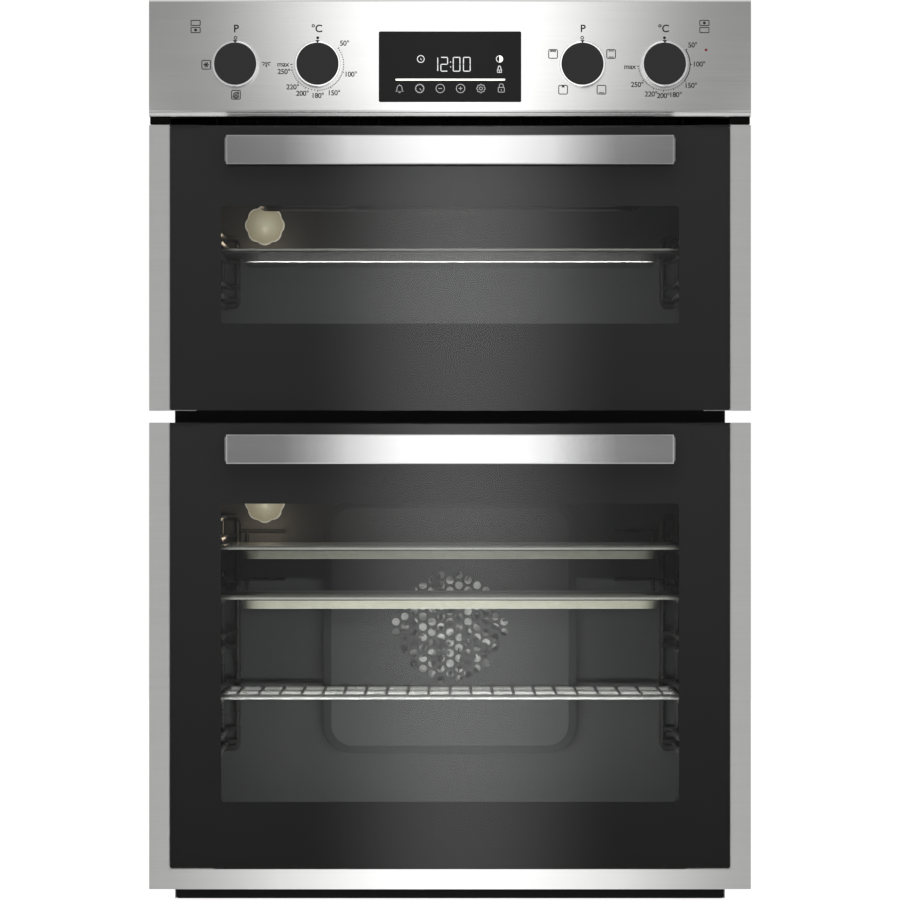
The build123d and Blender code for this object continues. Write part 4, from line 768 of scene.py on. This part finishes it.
def dial(knob, scale, letters, dots, lines):
    """Adds a thermostat's numbers, dots and ticks. A scale's rows are a number, its angle and the dots after it."""
    for (words, angle, between), (_, following, _) in zip(scale, scale[1:] + scale[-1:]):
        centre = on_dial(knob, DIAL_LABELS + 3.2 * abs(math.sin(math.radians(angle))), angle)
        letters.append(lettering(words, LABEL_HEIGHT, *centre, steel_front))
        lines.append(([on_dial(knob, DIAL_DOTS - 0.7, angle), on_dial(knob, DIAL_DOTS + 1.4, angle)], False))
        step = (following - angle) / (between + 1)
        dots += [on_dial(knob, DIAL_DOTS, angle + step * (i + 1)) for i in range(between)]


# Each function symbol's place beside its knob's middle.
KNOB_SYMBOLS = (
    ("lower_oven_function", SMALL_GRILL, 30.3, 0), ("lower_oven_function", FAN_BAKE, 0.4, -30),
    ("lower_oven_function", FAN_DEFROST, -28.9, -0.4),
    ("upper_oven_function", GRILL, -28.8, 10.3), ("upper_oven_function", TOP_BOTTOM, 28.5, 10.2),
    ("upper_oven_function", HALF_GRILL, -18.9, -25), ("upper_oven_function", BOTTOM_HEAT, 19, -25),
)


def print_control_panel():
    """Every printed mark on the steel: dial scales, function symbols, letters and the two cavity symbols."""
    letters, small_dots, lines, big_dots = [], [], [], []
    upper_thermostat = knobs["upper_oven_temperature"]
    dial(knobs["lower_oven_temperature"], LOWER_SCALE, letters, small_dots, lines)
    dial(upper_thermostat, UPPER_SCALE, letters, small_dots, lines)
    lines.append((arc(upper_thermostat, DIAL_DOTS - 0.3, UPPER_SCALE[0][1], UPPER_SCALE[2][1], 40), False))
    for name, (x, z) in knobs.items():
        if name.endswith("temperature"):
            letters.append(lettering("°C", TITLE_HEIGHT, x - 0.9, z + TITLE_RISE, steel_front))
            big_dots.append((x, z + ZERO_MARK))
        else:
            letters.append(lettering("P", TITLE_HEIGHT, x + 0.6, z + TITLE_RISE, steel_front))
            lines.append((circle((x, z + ZERO_MARK), 1.35, 16), True))
    for name, symbol, across, up in KNOB_SYMBOLS:
        lines += moved(symbol, knobs[name][0] + across, knobs[name][1] + up)
    for outer_knob, upper, side in (("lower_oven_function", False, -1), ("upper_oven_temperature", True, 1)):
        boxes, dot = cavity_symbol(upper)
        x, z = knobs[outer_knob][0] + side * 39.4, knobs[outer_knob][1] + 37.4
        lines += moved(boxes, x, z)
        big_dots.append((x + dot[0], z + dot[1]))
    flat = {"Depth": INK * MM, "Face": steel_front, "Finish": black_ink}
    for name, drawing, tree, width in (("panel_symbols", drawn(lines), STROKES, INK_LINE),
                                       ("panel_scale_dots", mark_points(small_dots), DOTS, 1.15),
                                       ("panel_large_dots", mark_points(big_dots), DOTS, 2.9)):
        grown(name, drawing, tree, {"Width": width * MM, **flat}, "chassis")
    keep("panel_lettering", merged(letters), "chassis", black_ink)


def indicator():
    """The small red lens beside the upper thermostat."""
    x, z = knobs["upper_oven_temperature"]
    flat = {"Width": 2.8 * MM, "Depth": 4 * INK * MM, "Face": steel_front, "Finish": red_lens()}
    grown("power_indicator_lens", mark_points([(x + 41, z + 14.3)]), DOTS, flat, "chassis")


def pointers():
    """The small dark wedge at the top of each knob's ring, which turns with the knob."""
    shape = ((-2.1, 23.0), (0, 20.4), (2.1, 23.0), (0, 23.3))
    for name, (x, z) in knobs.items():
        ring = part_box(name + "_knob_ring")[0]
        outline = [((x + side) * MM, (z + up) * MM) for side, up in shape]
        wedge = joined([prism(outline, ring.y - 0.25 * MM, ring.y + 1.2 * MM)])
        keep(name + "_pointer", wedge, name + "_knob", black_ink)


SEGMENTS = {"top": ((0, 1), (1, 1)), "middle": ((0, 0.5), (1, 0.5)), "bottom": ((0, 0), (1, 0)),
            "upper_left": ((0, 0.5), (0, 1)), "upper_right": ((1, 0.5), (1, 1)),
            "lower_left": ((0, 0), (0, 0.5)), "lower_right": ((1, 0), (1, 0.5))}
DIGITS = {"1": "upper_left lower_left", "2": "top upper_right middle lower_left bottom",
          "0": "top bottom upper_left upper_right lower_left lower_right"}


def digit(figure, x, z, width=6.6, height=13.6):
    """Seven-segment figure with its lower left corner at (x, z), each stroke a little short of its neighbours."""
    lines = []
    for part in DIGITS[figure].split():
        (ax, az), (bx, bz) = SEGMENTS[part]
        start, end = Vector((ax * width, az * height)), Vector((bx * width, bz * height))
        short = (end - start).normalized() * 0.25
        start, end = start + short, end - short
        lines.append(([(x + start.x, z + start.y), (x + end.x, z + end.y)], False))
    return lines


def gear(radius, teeth=8):
    """A toothed outline: two points on each tooth's crest and two in each gap."""
    return [on_dial((0, 0), radius * (1.0 if i % 4 in (0, 1) else 0.8), 360 * (i - 0.5) / (4 * teeth))
            for i in range(4 * teeth)]


BELL = [([(-3.6, -2.9), (-2.6, -1.6), (-2.5, 0.8), (-1.7, 2.5), (0, 3.3), (1.7, 2.5), (2.5, 0.8), (2.6, -1.6),
          (3.6, -2.9)], True),
        ([(-0.9, -3.7), (0, -4.2), (0.9, -3.7)], False), ([(0, 3.5), (0, 4.2)], False)]
CLOCK = [(circle((0, 0), 4.2), True), ([(-0.1, 0.1), (1.6, -1.8)], False)] + [
    ([on_dial((0, 0), 3.2, 30 * i), on_dial((0, 0), 3.8, 30 * i)], False) for i in range(12)]
MINUS = [(circle((0, 0), 4.2), True), ([(-1.8, 0), (1.8, 0)], False)]
PLUS = MINUS + [([(0, -1.8), (0, 1.8)], False)]
GEAR = [(gear(4.3), True), (circle((0, 0), 1.5, 16), True)]
PADLOCK = [box_outline(6.0, 4.6, 0.5),
           ([(-2.0, 2.3), (-2.0, 4.0)] + arc((0, 4.0), 2.0, -90, 90, 8) + [(2.0, 2.3)], False),
           ([(0, 0.4), (0, -0.9)], False)]
SMALL_CLOCK = [(circle((0, 0), 3.4), True), ([(0.6, -0.9), (-0.3, 0.5)], False)]
DOOR_LOCK = [([(-1.9, -3.2), (-2.3, -0.8), (2.3, -0.8), (1.9, -3.2)], True),
             ([(-1.6, -0.6), (-1.2, 1.8)] + arc((0, 1.9), 1.2, -90, 90, 8) + [(1.6, -0.6)], False),
             ([(0, -1.4), (0, -2.6)], False)]
TOUCH_KEYS = ((BELL, -49.8, 0), (CLOCK, -29.9, 0), (MINUS, -9.6, 0), (PLUS, 10.4, 0), (GEAR, 30.5, 0),
              (PADLOCK, 50.6, -1.3))


def display_symbols():
    """The lit clock, status symbols and bar, and the six touch symbols under it."""
    front, foot = display_low.y, display_low.z / MM
    clock = []
    for figure, x in (("1", -12.1), ("2", -9.0), ("0", 3.2), ("0", 13.3)):
        clock += digit(figure, x, foot + CLOCK_RISE)
    half_disc = (STATUS_SIDE, foot + STATUS_RISE)
    status = (moved(SMALL_CLOCK, -28.8, foot + STATUS_RISE) + [(arc(half_disc, 3.1, 180, 360, 14), False)]
              + moved(DOOR_LOCK, STATUS_SIDE, foot + 32.3))
    keys = []
    for symbol, x, lower in TOUCH_KEYS:
        keys += moved(symbol, x, foot + KEY_RISE + lower)
    bright = lit_segments("lit_clock_segments", "#c8c8c8", 0.5)
    soft = lit_segments("back_lit_symbols", "#a2a2a2", 0.36)
    white = lit_segments("lit_bar", "#ecece4", 0.66)
    for name, drawing, tree, width, glow in (
            ("display_clock", drawn(clock), STROKES, CLOCK_LINE, bright),
            ("display_status", drawn(status), STROKES, STATUS_LINE, bright),
            ("display_touch_keys", drawn(keys), STROKES, KEY_LINE, soft),
            ("display_colon", mark_points([(0.6, foot + 34.6), (0.6, foot + 39.4)]), DOTS, 1.1, bright)):
        sizes = {"Width": width * MM, "Depth": INK * MM, "Face": front, "Finish": glow}
        grown(name, drawing, tree, sizes, "chassis")
    bar = round_corners(-53.8 * MM, 54.5 * MM, (foot + 21.1) * MM, (foot + 22.9) * MM, 0.85 * MM)
    half = [(x * MM, z * MM) for x, z in arc(half_disc, 3.5, 0, 180, 16)]
    solids = [prism(outline, front - INK / 2 * MM, front + 0.02 * MM) for outline in (bar, half)]
    keep("display_bar", joined(solids), "chassis", white)


print_control_panel()
indicator()
pointers()
display_symbols()


# ---- camera, floor and light
def place_camera():
    """Straight on, at mid height, far enough away for the long lens that the view needs."""
    data = bpy.data.cameras.new("camera")
    camera = bpy.data.objects.new("camera", data)
    scene.collection.objects.link(camera)
    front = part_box("lower_door_outer_glass")[0].y
    camera.location = (0, front - VIEW_DISTANCE * MM, VIEW_HEIGHT / 2 * MM)
    camera.rotation_euler = (math.pi / 2, 0, 0)
    data.sensor_width = SENSOR
    data.lens = SENSOR * VIEW_DISTANCE / VIEW_HEIGHT
    data.clip_end = 100
    scene.camera = camera


def lay_floor():
    """A plain white floor, lit enough to meet the white background with no line."""
    made = new_material("white_floor", {"Base Color": rgb("#e6e6e6"), "Roughness": 0.9, "Emission Strength": 0.75,
                                        "Emission Color": rgb("#ffffff")})[0]
    corners = [(-8, -8, 0), (8, -8, 0), (8, 8, 0), (-8, 8, 0)]
    floor = bpy.data.objects.new("floor", bare_mesh(corners, (), [(0, 1, 2, 3)]))
    floor.location.z = -0.5 * MM
    floor.data.materials.append(made)
    floor.visible_glossy = False
    scene.collection.objects.link(floor)


def light_world():
    """White behind the object, a soft grey room for its metals and glass to mirror, brighter to the sides."""
    world = bpy.data.worlds.new("studio")
    scene.world = world
    world.use_nodes = True
    tree = world.node_tree
    tree.nodes.clear()
    place = add(tree, "ShaderNodeTexCoord").outputs["Generated"]
    toward = add(tree, "ShaderNodeSeparateXYZ", {0: place}).outputs[1]
    room = add(tree, "ShaderNodeMapRange", {0: toward, 1: -0.9, 2: -0.1, 3: 0.34, 4: 0.95}).outputs[0]
    ray = add(tree, "ShaderNodeLightPath").outputs
    mirrored = add(tree, "ShaderNodeMix", {0: ray["Is Glossy Ray"], 2: 0.5, 3: room}).outputs[0]
    seen = add(tree, "ShaderNodeMix", {0: ray["Is Camera Ray"], 2: mirrored, 3: 1.02}).outputs[0]
    light = add(tree, "ShaderNodeBackground", {"Color": rgb("#ffffff"), "Strength": seen})
    add(tree, "ShaderNodeOutputWorld", {"Surface": light.outputs[0]})


def soft_card(name, bottom, top, side, middle_light, reach, centre, edge):
    """A staged light card seen only in mirrored rays: a bright upright band round centre that fades away over
    reach. side and middle_light are strengths at the bottom and at the top; edge is added outside what the glass
    mirrors."""
    made, tree = empty_material(name)
    place = add(tree, "ShaderNodeTexCoord").outputs["Object"]
    across, _, up = add(tree, "ShaderNodeSeparateXYZ", {0: place}).outputs
    away = add(tree, "ShaderNodeMath", {0: across, 1: centre}, operation="SUBTRACT").outputs[0]
    away = add(tree, "ShaderNodeMath", {0: away}, operation="ABSOLUTE").outputs[0]
    turn = add(tree, "ShaderNodeMapRange", {0: away, 1: 0, 2: reach, 3: 0, 4: math.pi}).outputs[0]
    bend = add(tree, "ShaderNodeMath", {0: turn}, operation="COSINE").outputs[0]
    band = add(tree, "ShaderNodeMapRange", {0: bend, 1: -1, 2: 1}).outputs[0]
    beside, peak = (add(tree, "ShaderNodeMapRange", {0: up, 1: bottom, 2: top, 3: at_bottom, 4: at_top}).outputs[0]
                    for at_bottom, at_top in (side, middle_light))
    peak = add(tree, "ShaderNodeMath", {0: band, 1: peak}, operation="MULTIPLY").outputs[0]
    total = add(tree, "ShaderNodeMath", {0: peak, 1: beside}, operation="ADD").outputs[0]
    wide = add(tree, "ShaderNodeMath", {0: across}, operation="ABSOLUTE").outputs[0]
    outer = add(tree, "ShaderNodeMapRange", {0: wide, 1: CARD_EDGE[0], 2: CARD_EDGE[1], 3: 0, 4: edge}).outputs[0]
    total = add(tree, "ShaderNodeMath", {0: total, 1: outer}, operation="ADD").outputs[0]
    glow = add(tree, "ShaderNodeEmission", {"Strength": total})
    add(tree, "ShaderNodeOutputMaterial", {"Surface": glow.outputs[0]})
    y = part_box("lower_door_outer_glass")[0].y - CARD_AHEAD
    corners = [(-CARD_HALF, y, bottom), (CARD_HALF, y, bottom), (CARD_HALF, y, top), (-CARD_HALF, y, top)]
    card = bpy.data.objects.new(name, bare_mesh(corners, (), [(0, 1, 2, 3)]))
    card.data.materials.append(made)
    card.visible_camera = card.visible_diffuse = card.visible_transmission = card.visible_shadow = False
    scene.collection.objects.link(card)


def on_card(z):
    """Height on the card that the camera sees mirrored at height z of the front."""
    eye = VIEW_HEIGHT / 2 * MM
    return eye + (z - eye) * (1 + CARD_AHEAD / (VIEW_DISTANCE * MM))


def area_light(name, place, aim, width, height, power):
    """A plain white panel of light that no camera or mirrored ray sees."""
    data = bpy.data.lights.new(name, "AREA")
    data.shape = "RECTANGLE"
    data.size, data.size_y, data.energy = width, height, power
    lamp = bpy.data.objects.new(name, data)
    lamp.location = place
    lamp.rotation_euler = (Vector(aim) - Vector(place)).to_track_quat("-Z", "Y").to_euler()
    lamp.visible_glossy = lamp.visible_camera = False
    scene.collection.objects.link(lamp)


def light_cavities():
    """Soft light over each rear wall and up the tray fronts, as the lamp and the room give it, and the lamp."""
    for oven, wall, fronts in OVEN_LIGHTS:
        low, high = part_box(oven + "_cavity")
        tall = high.z - low.z
        middle_up = low.z + tall / 2
        area_light(oven + "_wall_light", (0, WALL_LIGHT_Y, middle_up), (0, 0.5, middle_up), 0.4, tall * 0.8, wall)
        area_light(oven + "_tray_light", (0, TRAY_LIGHT_Y, low.z + 0.05), (0, 0.2, middle_up), 0.44, 0.03, fronts)
        data = bpy.data.lights.new(oven + "_lamp", "POINT")
        data.energy, data.shadow_soft_size = 0.1, 0.02
        data.color = rgb("#ffe9cc")[:3]
        lamp = bpy.data.objects.new(oven + "_lamp", data)
        lamp.location = (-0.19, high.y - 0.16, high.z - 0.075)
        scene.collection.objects.link(lamp)


place_camera()
lay_floor()
light_world()
lower_glass, upper_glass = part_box("lower_door_outer_glass"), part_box("upper_door_outer_glass")
between = on_card((lower_glass[1].z + upper_glass[0].z) / 2)
strip_top = on_card(lower_glass[0].z)
soft_card("fold_card", -6.0, FOLD_CARD_TOP, (0.38, 0.38), (2.4, 2.4), 0.34, 0, 0)
soft_card("strip_card", FOLD_CARD_TOP, strip_top, (0.75, 0.75), (0.95, 0.95), 0.65, 0, 0)
soft_card("lower_card", strip_top, between, (0.04, 0.36), (1.25, 1.9), 0.184, 0.0144, 0.7)
soft_card("upper_card", between, on_card(upper_glass[1].z), (0.2, 0.36), (1.65, 1.95), 0.184, 0.0144, 0.6)
soft_card("panel_card", on_card(upper_glass[1].z), 2.4, (0.40, 0.40), (1.9, 1.9), 0.32, 0, 0)
area_light("front_softbox", (0, -3.2, 1.9), (0, 0, 0.5), 2.4, 1.4, 60)
light_cavities()
scene.view_settings.view_transform = "Standard"
scene.cycles.transparent_max_bounces = 32      # six faces of glass on the way in, and six on the way out
